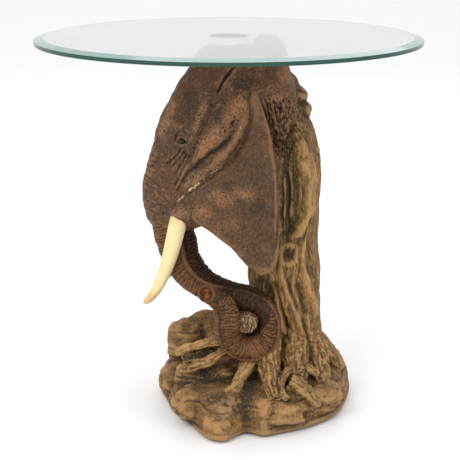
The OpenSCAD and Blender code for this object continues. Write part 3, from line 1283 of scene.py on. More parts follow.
    # painted shade in the creases at the top and along the groove, in the eye socket and its fold, behind the
    # ear and under the cheek's swelling
    DEEP = (
        Stroke(((14, 462), (6, 454), (1, 446)), 2.2, 0.7),
        Stroke(((14, 378), (3, 366), (-12, 357), (-26, 345), (-43, 328)), 2.2, 0.15),
        Lump((-54.5, 366.5), (6, 4.5), 1.2),
        Stroke(((-56, 358), (-62, 348), (-72, 338)), 1.6, 0.6),
        brushed(((50, 416), (58, 396), (66, 376), (76, 350)), 6, 0.6),
        brushed(((66, 412), (76, 388), (84, 362)), 4, 0.3),
        Lump((-50, 262), (16, 8), 0.5),
    )
    # the palest touches along the band's overhanging edge, partly pale chips and partly a painted highlight,
    # and a painted glint at the eye's back corner
    CHALK = (
        brushed(((34, 414), (28, 396), (22, 380)), 2.2, 0.42),
        brushed(((6, 345), (-6, 334), (-14, 328)), 2.0, 0.55),
        brushed(((-30, 314), (-38, 308), (-44, 303)), 2.6, 0.8),
        brushed(((-52, 295), (-60, 287)), 2.2, 0.75),
        Lump((-44, 366), (2.5, 3), 0.6),
    )
    EAR_MARKS = (
        Stroke(((42, 424), (38, 400), (32, 378), (20, 358), (4, 342), (-14, 326), (-34, 310)), 4.5, -2.2),
        Stroke(((-34, 272), (-16, 260), (4, 246), (24, 231), (36, 219)), 6, 1.4),
        Stroke(((50, 400), (60, 350), (64, 300), (62, 250), (56, 222)), 10, 1.5),
        Stroke(((10, 332), (24, 300), (30, 266), (34, 240)), 10, -1.6),
        Stroke(((-20, 306), (-4, 282), (14, 258)), 8, 1.2),
        Stroke(((64, 380), (72, 340), (74, 290), (72, 240)), 2.4, 0.9),
    )
    EAR_WARM = (
        Lump((-4, 300), (26, 18), 0.55),
        Lump((34, 306), (14, 12), 0.7),
        Lump((-28, 276), (16, 10), 0.6),
        Lump((10, 262), (26, 16), 0.4),
    )
    EAR_DARK = (
        Lump((52, 288), (16, 12), 0.75),
        Lump((48, 330), (14, 20), 0.4),
        Lump((8, 314), (12, 9), 0.7),
        Lump((60, 236), (14, 18), 0.45),
    )
    # painted shade on the ear, along its groove, its rear rim and behind its ridge
    EAR_DEEP = (
        Lump((52, 262), (26, 56), 0.28),
        brushed(((66, 384), (76, 350), (82, 310), (84, 270), (84, 236), (76, 214)), 5, 0.35),
        Stroke(((40, 424), (36, 400), (30, 378), (18, 358), (2, 342), (-16, 326), (-36, 310)), 2.6, 0.7),
        Stroke(((68, 380), (74, 340), (77, 290), (76, 240)), 2.0, 0.5),
    )

    def skin(self) -> Clay:
        """The head's skin, with its folds and wrinkles.

        Returns:
            The skin.
        """
        rows = np.array(self.sections, float)

        def place(share: Array, angle: Array) -> Array:
            """Points of the head's oval sections, wider behind than in front.

            Args:
                share: Share of the way from end to end.
                angle: Angle round the piece.

            Returns:
                Points in millimetres.
            """
            z, front, back, half, narrow = along_rows(rows, share).T
            middle = front + (back - front) * 0.6
            c, s = np.cos(angle), np.sin(angle)
            reach = np.where(c < 0, middle - front, back - middle)
            wide = half * (1 - narrow * np.maximum(0, -c) ** 1.5)
            return self.turned.outward(np.stack([middle + reach * c, wide * s, z], axis=1))

        head = Clay.lattice("head_casting", around=128, along=110, place=place)
        head.fuse(voxel=self.voxel, smooth=2)
        at = self.turned.inward(head.points())
        face, side = at[:, (0, 2)], smooth_step(8, 24, np.abs(at[:, 1]))
        head.push(worked(self.STROKES + self.LUMPS, face) * side)
        head.push(self._wrinkles(self.turned.inward(head.points())))
        head.push(self._strands(self.turned.inward(head.points())))
        face = self.turned.inward(head.points())[:, (0, 2)]
        head.tint(face, warm=self.WARM, dark=self.DARK, deep=self.DEEP, chalk=self.CHALK)
        head.relief()
        return head

    @staticmethod
    def _wrinkles(at: Array) -> Array:
        """Rings across the trunk's bridge, and fine slanting creases on the cheeks.

        Args:
            at: Points in the head's frame.

        Returns:
            Heights in millimetres.
        """
        grain, other = Grain(Seed.WRINKLES), Grain(Seed.CROSS_WRINKLES)
        x, y, z = at.T
        bridge = smooth_step(-64, -94, x) * smooth_step(418, 380, z)
        bend = grain.clouds(at / 24) * 5 + 0.0032 * y**2
        rings = 1 - np.exp(-((np.sin(math.pi * (z + bend) / 6.4) / 0.42) ** 2))
        part = smooth_step(-0.35, 0.35, grain.value(at / (9, 9, 5)))
        slant = np.stack([(x * 0.88 - z * 0.47) / 3.4, y / 5, (x * 0.47 + z * 0.88) / 16], axis=1)
        lines = grain.creases(slant, 2) - 0.5
        cross = other.creases(at / (6.5, 7, 5), 2) - 0.5
        lumps = other.clouds(at / 24, 3)
        mesh = grain.creases(at / (3.6, 3.6, 3.2), 1) - 0.5
        return (
            0.8 * rings * bridge * part
            + (0.9 * lines + 0.7 * cross + 0.45 * mesh) * (1 - 0.3 * bridge)
            + 1.9 * lumps
        )

    @staticmethod
    def _strands(at: Array) -> Array:
        """Coarse wavy strands on the neck behind the ears.

        Args:
            at: Points in the head's frame.

        Returns:
            Heights in millimetres.
        """
        x, y, z = at.T
        here = smooth_step(46, 60, x) * smooth_step(332, 350, z) * smooth_step(436, 416, z)
        wavy = x + 0.5 * (z - 380) + 2.5 * np.sin(z / 16 + y / 9)
        comb = Grain(Seed.STRANDS).creases(np.stack([wavy / 6, y / 6, z / 46], axis=1), 2) - 0.5
        thin = np.stack([wavy / 2.4, y / 2.4, z / 24], axis=1)
        fine = Grain(Seed.FINE_STRANDS).creases(thin, 1) - 0.5
        return here * (9.0 * comb + 3.2 * fine)

    def ear(self, cheek: Cheek) -> Clay:
        """One ear: a broad flap, thick at the cheek and thin at its free edge.

        Args:
            cheek: Its side.

        Returns:
            The ear.
        """
        rows = np.array(self.ear_rows, float)

        def place(share: Array, angle: Array) -> Array:
            """Points of the flap, its outer face first and its inner face after.

            Args:
                share: Share of the way from end to end.
                angle: Angle round the piece.

            Returns:
                Points in millimetres.
            """
            z, x0, y0, x1, y1 = along_rows(rows, share).T
            across = (1 + np.cos(angle)) / 2
            swell = np.sqrt(np.abs(np.sin(math.pi * across))) * 4.0 + 0.6
            y = y0 + (y1 - y0) * across - 3 * np.sin(math.pi * across)
            y += np.where(np.sin(angle) > 0, swell, -swell)
            x = x0 + (x1 - x0) * across
            return self.turned.outward(np.stack([x, y, z], axis=1))

        ear = Clay.lattice(f"{cheek.side}_ear_casting", around=64, along=150, place=place)
        ear.fuse(voxel=self.ear_voxel, smooth=2)
        at = self.turned.inward(ear.points())
        face = at[:, (0, 2)]
        outer = smooth_step(0.2, -0.4, self._facing(ear))
        ear.push(worked(self.EAR_MARKS, face) * outer)
        at = self.turned.inward(ear.points())
        grain = Grain(Seed.EAR)
        ear.push(1.1 * grain.clouds(at / 26, 3) + 0.4 * (grain.creases(at / (6, 8, 6)) - 0.45))
        face = self.turned.inward(ear.points())[:, (0, 2)]
        ear.tint(face, warm=self.EAR_WARM, dark=self.EAR_DARK, deep=self.EAR_DEEP)
        if cheek is Cheek.RIGHT:
            self._mirror(ear)
        ear.relief()
        return ear

    def _facing(self, piece: Clay) -> Array:
        """How far each point of a piece faces away from the left cheek, in the head's frame.

        Args:
            piece: The piece.

        Returns:
            Values from -1 to 1.
        """
        c, s = math.cos(-self.turned.yaw), math.sin(-self.turned.yaw)
        n = piece.normals()
        return n[:, 0] * s + n[:, 1] * c

    def _mirror(self, piece: Clay) -> None:
        """Turns a piece of the left cheek into the right one's.

        Args:
            piece: The piece.
        """
        at = self.turned.inward(piece.points())
        piece.set_points(self.turned.outward(at * (1, -1, 1)) * MM)
        choose(piece.obj)
        bpy.ops.object.mode_set(mode="EDIT")
        bpy.ops.mesh.select_all(action="SELECT")
        bpy.ops.mesh.normals_make_consistent(inside=False)
        bpy.ops.object.mode_set(mode="OBJECT")

    def tusk_piece(self, cheek: Cheek) -> Clay:
        """One tusk, with faint growth rings near its root.

        Args:
            cheek: Its side.

        Returns:
            The tusk.
        """
        tube = Tube(self.tusk, (0.0, 1.0, 0.0))

        def relief(length: Array, angle: Array) -> Array:
            """Faint rings and a flattened inner curve.

            Args:
                length: Length along the tusk.
                angle: Angle round it.

            Returns:
                Heights in millimetres.
            """
            rings = 0.12 * np.sin(length / 1.7) * smooth_step(90, 30, length)
            tip = tube.length() - length
            return rings - 0.3 * np.cos(angle * 2) - 2.2 * smooth_step(2.5, 0, tip)

        def place(share: Array, angle: Array) -> Array:
            """Points of the tusk, in the table's frame."""
            return self.turned.outward(tube.place(share, angle, relief))

        tusk = Clay.lattice(f"{cheek.side}_tusk_casting", around=48, along=150, place=place)
        height = tusk.points()[:, 2] / MM
        tusk.note("age", np.clip(smooth_step(190, 148, height) + 0.7 * smooth_step(240, 268, height), 0, 1))
        if cheek is Cheek.RIGHT:
            self._mirror(tusk)
        return tusk

    def eyeball(self, cheek: Cheek) -> Clay:
        """One eyeball, with the distance from its pupil noted for the paint.

        Args:
            cheek: Its side.

        Returns:
            The eyeball.
        """
        clear_selection()
        bpy.ops.mesh.primitive_uv_sphere_add(segments=48, ring_count=32, radius=1)
        eye = Clay(bpy.context.object)
        eye.obj.name = f"{cheek.side}_glass_eye"
        ball = eye.points()
        gaze = np.array(self.gaze) / np.linalg.norm(self.gaze)
        ring = np.arccos(np.clip(ball @ gaze, -1, 1)) / (math.pi / 2)
        bulge = 1 + 0.12 * np.exp(-((ring / 0.4) ** 2))
        at = np.array(self.eye) + ball * self.eye_size * bulge[:, None]
        eye.set_points(self.turned.outward(at) * MM)
        eye.note("ring", ring)
        if cheek is Cheek.RIGHT:
            self._mirror(eye)
        return eye

    def build(self) -> None:
        """Makes, dresses and fixes every piece of the head."""
        skin, ivory, glass = SKIN.build(), Ivory().build(), EyeGlass().build()
        self.skin().finish(skin, BODY, "painted_skin", "head")
        for cheek in Cheek:
            self.ear(cheek).finish(skin, BODY, "painted_skin", f"{cheek.side}_ear")
            self.tusk_piece(cheek).finish(ivory, BODY, "ivory_resin", f"{cheek.side}_tusk")
            self.eyeball(cheek).finish(glass, BODY, "dark_eye", f"{cheek.side}_eye")


@dataclass
class Trunk:
    """The elephant's trunk, curled round the branch stub.

    Attributes:
        path: Its centre line with the radius, from the face to the tip.
        ring: Distance between two skin rings.
        step: Distance between two rings of points.
        lip_share: Share of the rings that goes over the lip and into the nostrils.
        mouth: The middle of the open tip.
    """

    path: Sequence[tuple[float, ...]] = (
        (-79, 13, 272, 24), (-76, 9, 250, 28), (-69, 2, 224, 28), (-60, -7, 198, 25.5),
        (-42, -18, 178, 22.5), (-20, -28, 167, 20), (2, -38, 161, 18.6), (24, -46, 157, 18),
        (43, -52, 150, 15), (54, -57, 130, 14.2), (49, -61, 106, 15.5), (30, -66, 96, 16.2),
        (9, -69, 102, 15.6), (-1, -72, 119, 15.8), (-1, -74, 138, 16.6), (-5, -72, 155, 15),
        (-18, -75, 168, 11.6), (-26, -81, 176, 11.6), (-29, -88, 178, 11.8),
    )
    ring: float = 3.9
    step: float = 0.8
    lip_share: float = 0.07
    mouth: tuple[float, float, float] = (-29, -91, 178)

    # warm paint under the curl and by the tip, partly a painted highlight
    WARM = (
        Lump((38, -80, 94), 16, 1.0),
        Lump((-26, -84, 164), 9, 0.8),
        Lump((8, -80, 98), 14, 0.5),
    )
    # the shade behind the tusks, along the underside and inside the curl
    DEEP = (
        brushed(
            (
                (-44, -14, 246), (-38, -14, 222), (-26, -18, 200), (-8, -24, 184), (12, -34, 176),
                (34, -46, 168),
            ),
            22,
            1.6,
        ),
        brushed(((2, -56, 154), (24, -58, 150), (42, -64, 140)), 13, 1.1),
        Lump((22, -60, 132), (21, 16, 20), 1.1),
    )

    def build(self) -> None:
        """Makes, dresses and fixes the trunk."""
        tube = Tube(self.path, (0.0, 1.0, 0.0))
        whole = tube.length()
        grain = Grain(Seed.TRUNK)
        cup = self.lip_share

        def relief(length: Array, angle: Array) -> Array:
            """Bands of skin parted by cracks, the two rims and the rope-like underside.

            Args:
                length: Length along the trunk.
                angle: Angle round it.

            Returns:
                Heights in millimetres.
            """
            spot = np.stack([np.cos(angle), np.sin(angle), length / 9], axis=1)
            phase = length / self.ring + 0.75 * grain.value(spot * (1.3, 1.3, 0.8))
            crack = np.exp(-((np.sin(math.pi * phase) / 0.3) ** 2))
            part = smooth_step(-0.25, 0.3, grain.value(spot * (2.2, 2.2, 2.6) + 5))
            lumps = grain.clouds(spot * (1.5, 1.5, 1.1) + 11, 3)
            rope = grain.creases(spot * (2.2, 2.2, 1.7), 2) - 0.5
            edge = 1.85 + 0.6 * smooth_step(whole * 0.25, whole * 0.5, length)
            under = smooth_step(edge - 0.08, edge + 0.22, np.abs(angle))
            rim = 2.4 * np.exp(-(((np.abs(angle) - edge) / 0.12) ** 2))
            beads = 0.9 * np.abs(np.sin(math.pi * phase)) * under
            upper = smooth_step(whole * 0.5, whole * 0.3, length)
            fresh = smooth_step(whole - 2, whole - 14, length)
            bands = -1.3 * crack * (0.35 + 0.65 * part) * (1 - 0.6 * under) + 0.35 * rope + 1.5 * lumps
            return (bands + rim + beads + (3.2 * rope - 2.4) * under * upper) * (0.2 + 0.8 * fresh)

        def place(share: Array, angle: Array) -> Array:
            """Points along the trunk, then over its lip and into the nostrils.

            Args:
                share: Share of the way from end to end.
                angle: Angle round the piece.

            Returns:
                Points in millimetres.
            """
            made = tube.place(np.clip(share / (1 - cup), 0, 1), angle, relief)
            inner = np.clip((share - 1 + cup) / cup, 0, 1)
            end = tube.place(np.ones_like(share), angle)
            round_tip = np.linspace(0, 2 * math.pi, 64, endpoint=False)
            centre = tube.place(np.ones_like(round_tip), round_tip).mean(axis=0)
            rows = np.array(self.path, float)
            way = (rows[-1] - rows[-2])[:3]
            way /= np.linalg.norm(way)
            spoke = (end - centre) * (1 - inner)[:, None]
            across = np.cross((0, 0, 1), way)
            across /= np.linalg.norm(across)
            pits = sum(
                np.exp(-((np.linalg.norm((spoke - across * 3.0 * sign) * (1, 1, 0.8), axis=1) / 2.9) ** 2))
                for sign in (-1, 1)
            )
            lip = 1.5 * np.sin(math.pi * np.clip(inner / 0.36, 0, 1)) - 1.6 * smooth_step(0.2, 0.6, inner)
            dished = centre + spoke * 0.99 + way * (lip - 4.0 * pits * smooth_step(0.1, 0.4, inner))[:, None]
            return np.where((inner > 0)[:, None], dished, made)

        trunk = Clay.lattice("trunk_casting", around=96, along=int(whole / self.step), place=place)
        co = trunk.points() / MM
        gap = np.linalg.norm((co - self.mouth) * (1, 0.6, 0.8), axis=1)
        trunk.note("chalk", smooth_step(8.2, 3.8, gap))
        trunk.tint(co, deep=self.DEEP, warm=self.WARM)
        trunk.relief(reach=8, height=0.45)
        trunk.finish(TRUNK_SKIN.build(), BODY, "painted_skin", "elephant_trunk")


# ---- Stump, stub, roots and rock ----


@dataclass
class Stump:
    """The weathered tree stump that carries the head.

    Attributes:
        sections: Rows of height, centre x and y, and half widths in x and y.
        stub: The branch stub's path, as x, y, z and radius.
        stub_step: Distance between two rings of the stub's points.
        torn_share: Share of the rings that goes over the stub's torn end.
    """

    sections: Sequence[tuple[float, ...]] = (
        (34, 66, 12, 84, 72), (52, 68, 12, 76, 64), (75, 72, 13, 62, 56), (100, 76, 14, 53, 51),
        (140, 79, 8, 46, 46), (190, 77, 4, 48, 45), (240, 76, 2, 46, 43), (290, 76, 2, 47, 43),
        (330, 76, 5, 46, 43), (370, 71, 14, 44, 42), (400, 62, 26, 38, 40), (430, 56, 38, 33, 36),
        (455, 53, 46, 27, 31), (475, 52, 50, 22, 23), (487, 51, 51, 12, 13),
    )
    stub: Sequence[tuple[float, ...]] = (
        (56, 0, 134, 18), (38, -24, 132, 16), (27, -46, 132, 14.6), (23, -62, 132, 14.2),
        (22, -75, 132, 13.4),
    )
    stub_step: float = 0.55
    torn_share: float = 0.16

    # marks on the front, seen along +Y, as x and height
    FRONT = (
        Lump((79, 300), (13, 40), -9),
        Stroke(((72, 322), (74, 295), (72, 262)), 2.4, 2.0),
        Stroke(((80, 330), (83, 300), (80, 262)), 2.4, 2.2),
        Stroke(((84, 346), (96, 334), (105, 317), (104, 293), (99, 267), (88, 246), (82, 234)), 6.5, 5.5),
        Stroke(((112, 300), (106, 276), (96, 254), (86, 240)), 6, 3.0),
        Stroke(((90, 372), (100, 352), (110, 330), (116, 306)), 7, 3.0),
        Stroke(
            (
                (79, 231), (87, 227), (89, 218), (86, 208), (78, 204), (70, 208), (68, 219), (71, 228),
                (79, 231),
            ),
            3.6,
            1.6,
            Ends.FULL,
        ),
        Lump((78, 219), (7, 9), -4.0),
        Lump((109, 212), (9, 30), -5.5),
        Stroke(((99, 241), (97, 216), (101, 190), (108, 172)), 4, 3.2),
        Stroke(((97, 199), (104, 169), (112, 149), (118, 118)), 5.5, 4.2),
        Stroke(((68, 202), (76, 172), (85, 149), (93, 126), (98, 98)), 5.5, 4.4),
        Stroke(((52, 198), (60, 166), (66, 134), (68, 104)), 6, 3.6),
        Stroke(((74, 192), (84, 160), (92, 138)), 3, -3),
        Stroke(((90, 180), (98, 152), (105, 128)), 3, -3),
        Stroke(((60, 180), (68, 150), (75, 124)), 2.6, -2.4),
        Stroke(((74, 132), (77, 120), (83, 104), (88, 88), (91, 74)), 3.4, -7),
        Stroke(((64, 128), (68, 108), (74, 90), (78, 76)), 2.2, -3),
        Stroke(((98, 128), (104, 108), (110, 88)), 2.4, -3),
        Lump((56, 164), (7, 14), -4),
        Lump((112, 258), (7, 9), -2.5),
    )
    # marks on the back, seen along -Y, as x and height
    BACK = (
        Lump((60, 250), (14, 44), -8),
        Stroke(((34, 380), (46, 330), (40, 270), (52, 200), (44, 130), (30, 80)), 8, 5),
        Stroke(((66, 420), (80, 350), (74, 290), (86, 220), (80, 150), (92, 90)), 8, 5),
        Stroke(((104, 380), (98, 310), (108, 240), (104, 170), (116, 110)), 7, 4),
        Stroke(((58, 200), (62, 150), (60, 100)), 3.4, -6),
        Stroke(((92, 330), (94, 270), (98, 210)), 3, -4),
        Lump((100, 260), (9, 12), -5),
        Lump((44, 300), (10, 8), 4),
    )
    KNOBS = (
        Lump((88, 34, 436), (13, 18, 11), 5),
        Lump((90, 32, 419), (15, 18, 10), 9),
        Lump((94, 32, 410), (14, 18, 14), 4),
        Lump((97, 30, 399), (15, 18, 10), 8),
        Lump((100, 44, 380), (10, 14, 8), 3),
        Lump((118, 4, 349), (5, 7, 6), 3),
        Lump((116, 30, 300), (10, 12, 16), 3),
    )
    # warm paint on the front's ridges, the lit right side and the knobs, partly a painted highlight
    WARM = (
        brushed(((96, -30, 350), (112, -20, 320), (114, -20, 290), (104, -30, 262)), 14, 0.9),
        brushed(((66, -40, 196), (68, -40, 172), (74, -40, 150)), 9, 0.8),
        brushed(((100, -34, 200), (106, -30, 168), (114, -24, 140)), 8, 0.6),
        Lump((104, -34, 90), 18, 0.7),
        Lump((110, 30, 380), 24, 0.6),
    )
    # darker paint: painted shade in the front's hollow, the knot, the cracks and the grooves, and streaks on
    # the back
    DARK = (
        brushed(((79, -36, 340), (79, -38, 305), (77, -40, 262), (76, -40, 246)), 13, 1.0),
        brushed(((52, -32, 172), (50, -34, 158), (56, -38, 146)), 12, 0.9),
        Lump((34, -24, 172), 14, 0.8),
        Lump((78, -40, 219), (8, 14, 10), 0.5),
        brushed(((108, -30, 232), (108, -28, 205), (107, -30, 184)), 8, 0.5),
        brushed(((76, -42, 126), (82, -44, 104), (90, -50, 80)), 7, 0.9),
        brushed(((66, -44, 128), (66, -48, 100)), 7, 0.5),
        brushed(((128, -16, 92), (134, -10, 70)), 12, 0.8),
        Lump((94, 20, 412), (16, 34, 24), 0.85),
        brushed(((60, 46, 280), (62, 46, 230), (58, 52, 160)), 16, 0.9),
        brushed(((20, 20, 190), (30, 40, 150), (20, 40, 110)), 14, 0.8),
        brushed(((100, 46, 260), (96, 48, 200)), 12, 0.6),
    )
    # painted shade where the stump meets the head, in the cracks, the knot and the back's groove
    DEEP = (
        Lump((70, -24, 384), (20, 26, 16), 1.0),
        Lump((76, -32, 358), (12, 16, 12), 0.9),
        brushed(((78, -42, 128), (82, -44, 104), (90, -50, 80)), 3.5, 0.9),
        brushed(((74, -42, 192), (84, -40, 160), (92, -38, 138)), 3, 0.5),
        Lump((76, -40, 217), (5, 12, 6), 0.45),
        brushed(((60, 44, 190), (62, 46, 130)), 5, 0.8),
    )
    # the palest touches along the front's big ridge, partly a painted highlight
    CHALK = (
        brushed(((86, -38, 346), (98, -37, 334), (106, -33, 316), (105, -34, 294)), 5, 0.55),
        brushed(((96, -40, 330), (100, -38, 300)), 4, 0.3),
    )

    def build(self) -> None:
        """Makes, dresses and fixes the stump and its branch stub."""
        rows = np.array(self.sections, float)
        broad, fine = Grain(Seed.STUMP), Grain(Seed.STUMP_GRAIN)

        def place(share: Array, angle: Array) -> Array:
            """Points of the stump: lobed rings with hollows, knots and long grain.

            Args:
                share: Share of the way from end to end.
                angle: Angle round the piece.

            Returns:
                Points in millimetres.
            """
            z, cx, cy, rx, ry = along_rows(rows, share).T
            c, s = np.cos(angle), np.sin(angle)
            lobes = 0.05 * np.cos(3 * angle + math.pi / 2 + np.radians(z) / 2)
            lobes += 0.025 * np.sin(5 * angle - np.radians(z))
            foot = smooth_step(120, 45, z) * 0.07 * np.cos(7 * angle + 0.8)
            at = np.stack([cx + rx * c, cy + ry * s, z], axis=1)
            twist = at + broad.clouds(at / 70)[:, None] * (12, 12, 0)
            ribs = broad.creases(twist / (24, 24, 130), 2) - 0.5
            grain = fine.creases(twist / (4.2, 4.2, 50), 2) - 0.5
            streaks = fine.creases(twist / (8, 8, 80), 2) - 0.5
            lumps = broad.clouds(at / (26, 26, 40), 3)
            flat = at[:, (0, 2)]
            front, back = smooth_step(0.15, -0.35, s), smooth_step(-0.15, 0.35, s)
            marks = worked(self.FRONT, flat) * front
            marks += worked(self.BACK, flat) * back
            marks += sum(knob.boss(at) for knob in self.KNOBS)
            calm = smooth_step(487, 470, z) * 0.8 + 0.2
            add = (4.6 * ribs + 1.3 * grain + 2.0 * streaks + 2.4 * lumps) * calm + marks
            return at + np.stack([c, s, 0 * c], axis=1) * (add + (lobes + foot) * rx)[:, None]

        stump = Clay.lattice("stump_casting", around=250, along=330, place=place)
        stump.tint(stump.points() / MM, warm=self.WARM, dark=self.DARK, deep=self.DEEP, chalk=self.CHALK)
        stump.relief(reach=9, height=0.75)
        stump.finish(BARK.build(), BODY, "painted_bark", "tree_stump")
        self.branch().finish(STUB.build(), BODY, "pale_wood_paint", "branch_stub")

    def branch(self) -> Clay:
        """The stub of a branch, torn off across its end.

        Returns:
            The stub.
        """
        bar = Tube(self.stub)
        grain, whole = Grain(Seed.STUB), bar.length()
        cup = self.torn_share

        def split(length: Array, angle: Array) -> Array:
            """Ribs along the wood."""
            ribs = np.stack([2.0 * np.cos(angle), 2.0 * np.sin(angle), length / 24], axis=1)
            return 2.4 * (grain.creases(ribs, 2) - 0.5) + 1.1 * np.cos(2 * angle)

        def place(share: Array, angle: Array) -> Array:
            """Points along the bar, then over its torn end.

            Args:
                share: Share of the way from end to end.
                angle: Angle round the piece.

            Returns:
                Points in millimetres.
            """
            made = bar.place(np.clip(share / (1 - cup), 0, 1), angle, split)
            inner = np.clip((share - 1 + cup) / cup, 0, 1)
            centre = np.array(self.stub[-1][:3])
            flat = centre + (made - centre) * (1 - inner)[:, None]
            tear = grain.creases((flat + (0, 0, 3)) / (4.5, 30, 11), 2) - 0.35
            dome = 3.2 * (1 - (1 - inner) ** 2) + 4.2 * tear * smooth_step(0, 0.3, inner)
            torn = flat + np.stack([0 * dome, -dome, 0 * dome], axis=1)
            return np.where((inner > 0)[:, None], torn, made)

        stub = Clay.lattice("stub_casting", around=96, along=int(whole / self.stub_step), place=place)
        stub.relief(reach=5, height=0.4)
        return stub


@dataclass
class Ground:
    """The rock base and the roots that run over it.

    Attributes:
        edge: The rock's outline at the floor.
        centre: The point that the outline is drawn about.
        rings: Rows of height and share of the outline.
        mounds: Rows of centre and half widths of rounded rocks pressed into the base.
        roots: Paths of the roots.
    """

    edge: Sequence[tuple[float, float]] = (
        (173, 35), (165, 72), (140, 98), (100, 110), (55, 114), (10, 110), (-35, 102), (-72, 86),
        (-97, 58), (-99, 20), (-88, -24), (-80, -59), (-64, -87), (-48, -120), (-30, -153),
        (-8, -164), (8, -147), (22, -134), (45, -146), (66, -136), (100, -119), (132, -93),
        (152, -64), (167, -12),
    )
    centre: tuple[float, float] = (38, -14)
    rings: Sequence[tuple[float, float]] = (
        (3.2, 0.965), (8, 0.975), (16, 0.965), (28, 0.945), (38, 0.905), (46, 0.83), (51, 0.68),
        (54, 0.4), (55, 0.05),
    )
    mounds: Sequence[tuple[float, ...]] = (
        (-28, 46, 55, 53, 43, 50), (-56, 34, 70, 29, 33, 34), (8, 56, 66, 34, 30, 36),
        (-24, -40, 46, 50, 28, 22), (-70, -8, 32, 24, 34, 22), (-46, -84, 26, 28, 34, 22),
        (-14, -130, 22, 23, 28, 17), (62, -110, 24, 40, 28, 18), (116, -66, 30, 36, 34, 20),
        (132, 20, 38, 28, 38, 22), (20, -84, 36, 40, 26, 18), (104, 66, 40, 46, 34, 22),
    )
    roots: Sequence[Sequence[tuple[float, ...]]] = (
        (
            (34, -14, 100, 18), (6, -44, 103, 10), (-20, -58, 102, 7), (-44, -62, 98, 6.5),
            (-62, -61, 91, 6), (-69, -60, 85, 4.5),
        ),
        (
            (34, -18, 84, 16), (0, -52, 90, 9), (-24, -66, 80, 7.5), (-44, -69, 72, 7),
            (-60, -68, 67, 6), (-68, -65, 71, 4.5),
        ),
        ((14, -24, 88, 16), (-20, -46, 88, 12), (-46, -50, 80, 10), (-62, -50, 74, 8)),
        (
            (48, -24, 94, 18), (31, -56, 80, 12.5), (21, -78, 70, 10), (14, -93, 62, 8.5),
            (6, -103, 55, 7), (-6, -107, 49, 5.2),
        ),
        ((14, -96, 58, 5.5), (12, -104, 50, 5), (10, -108, 46, 4)),
        (
            (58, -4, 106, 20), (54, -40, 92, 19), (53, -60, 80, 17), (54, -82, 67, 14),
            (56, -102, 55, 11), (59, -120, 45, 7.5),
        ),
        ((84, 2, 100, 20), (88, -34, 88, 19), (89, -56, 72, 18), (90, -74, 60, 16), (90, -88, 48, 13)),
        ((88, -76, 70, 5), (75, -85, 67, 6), (68, -101, 60, 6), (69, -114, 52, 5.5), (77, -121, 45, 4.5)),
        ((80, -92, 58, 12), (92, -96, 53, 12), (103, -101, 46, 9), (112, -107, 38, 6.6), (118, -112, 31, 5)),
        ((82, -66, 76, 6), (96, -70, 71, 6.5), (110, -74, 67, 6), (118, -76, 61, 5)),
        ((104, 6, 100, 20), (116, -26, 80, 18), (122, -50, 60, 13), (126, -68, 46, 8)),
        ((104, 6, 96, 20), (126, -2, 72, 17), (142, -4, 58, 12), (154, -8, 46, 7)),
        ((104, 12, 84, 18), (136, 22, 58, 14), (150, 30, 46, 8)),
        ((76, 44, 80, 20), (74, 76, 62, 14), (70, 96, 48, 9), (66, 104, 38, 6)),
        ((44, 36, 88, 18), (20, 66, 76, 12), (2, 84, 58, 8)),
        ((106, 36, 84, 18), (128, 64, 60, 11), (134, 80, 46, 7)),
    )

    # painted shade low on the rock, in its recesses and under the roots
    DEEP = (
        brushed(((-92, -40, 42), (-70, -74, 38), (-40, -84, 36)), 7, 0.6),
        brushed(((-20, -84, 40), (10, -96, 38), (34, -100, 38)), 8, 0.7),
        brushed(((-64, -34, 64), (-40, -52, 56), (-10, -62, 52)), 9, 0.8),
        brushed(((60, -122, 36), (92, -116, 33), (124, -96, 30)), 6, 0.5),
        brushed(((132, -60, 40), (150, -30, 38), (156, 0, 36)), 8, 0.5),
    )
    # warm paint on the rock's lips and edges, partly a painted highlight
    WARM = (
        Lump((-86, -4, 42), 16, 0.8),
        Lump((-56, -94, 36), (24, 20, 14), 1.0),
        brushed(((-34, -154, 22), (-10, -160, 18), (16, -142, 24)), 15, 1.0),
        brushed(((40, -130, 38), (70, -130, 34), (110, -108, 32), (150, -60, 36), (164, -10, 40)), 15, 0.9),
        Lump((150, 0, 46), 18, 0.7),
        Lump((-78, 30, 92), 16, 0.7),
    )
    # darker paint: painted shade under the roots, in the recesses and along the rock's foot, with moss-dark
    # stains and streaks on the back
    DARK = (
        brushed(((4, -60, 60), (-24, -66, 54), (-52, -60, 50)), 17, 0.9),
        brushed(((35, -76, 54), (28, -92, 50)), 10, 1.0),
        brushed(((-20, -124, 48), (-2, -136, 44), (14, -132, 38), (20, -112, 46)), 13, 0.9),
        brushed(((-82, -56, 10), (-64, -92, 8), (-46, -124, 7)), 12, 0.9),
        brushed(((30, -146, 10), (50, -148, 20), (72, -136, 8)), 9, 0.7),
        Lump((-60, -48, 50), (6, 8, 6), 1.0),
        Lump((-44, -95, 46), (7, 9, 6), 0.9),
        Lump((-58, 8, 72), (12, 14, 12), 0.7),
        Lump((84, -116, 44), (22, 10, 7), 0.8),
        Lump((134, -16, 62), (14, 16, 10), 0.9),
        brushed(((100, -120, 4), (140, -80, 4), (164, -20, 4), (160, 50, 4)), 7, 0.7),
        brushed(((-60, 100, 40), (0, 112, 30), (60, 112, 26)), 16, 0.6),
    )
    # painted shade under and between the roots, and a faint darkening over them all
    ROOT_DARK = (
        brushed(((-60, -58, 80), (-42, -60, 86), (-24, -60, 90)), 7.5, 0.9),
        brushed(((80, -60, 80), (88, -66, 70), (86, -82, 60)), 7, 0.8),
        brushed(((40, -66, 70), (40, -84, 58)), 8, 0.8),
        Lump((76, -104, 52), (6, 10, 8), 0.8),
        Lump((60, -122, 44), (12, 8, 8), 0.6),
        Lump((40, -40, 60), (150, 150, 60), 0.22),
    )
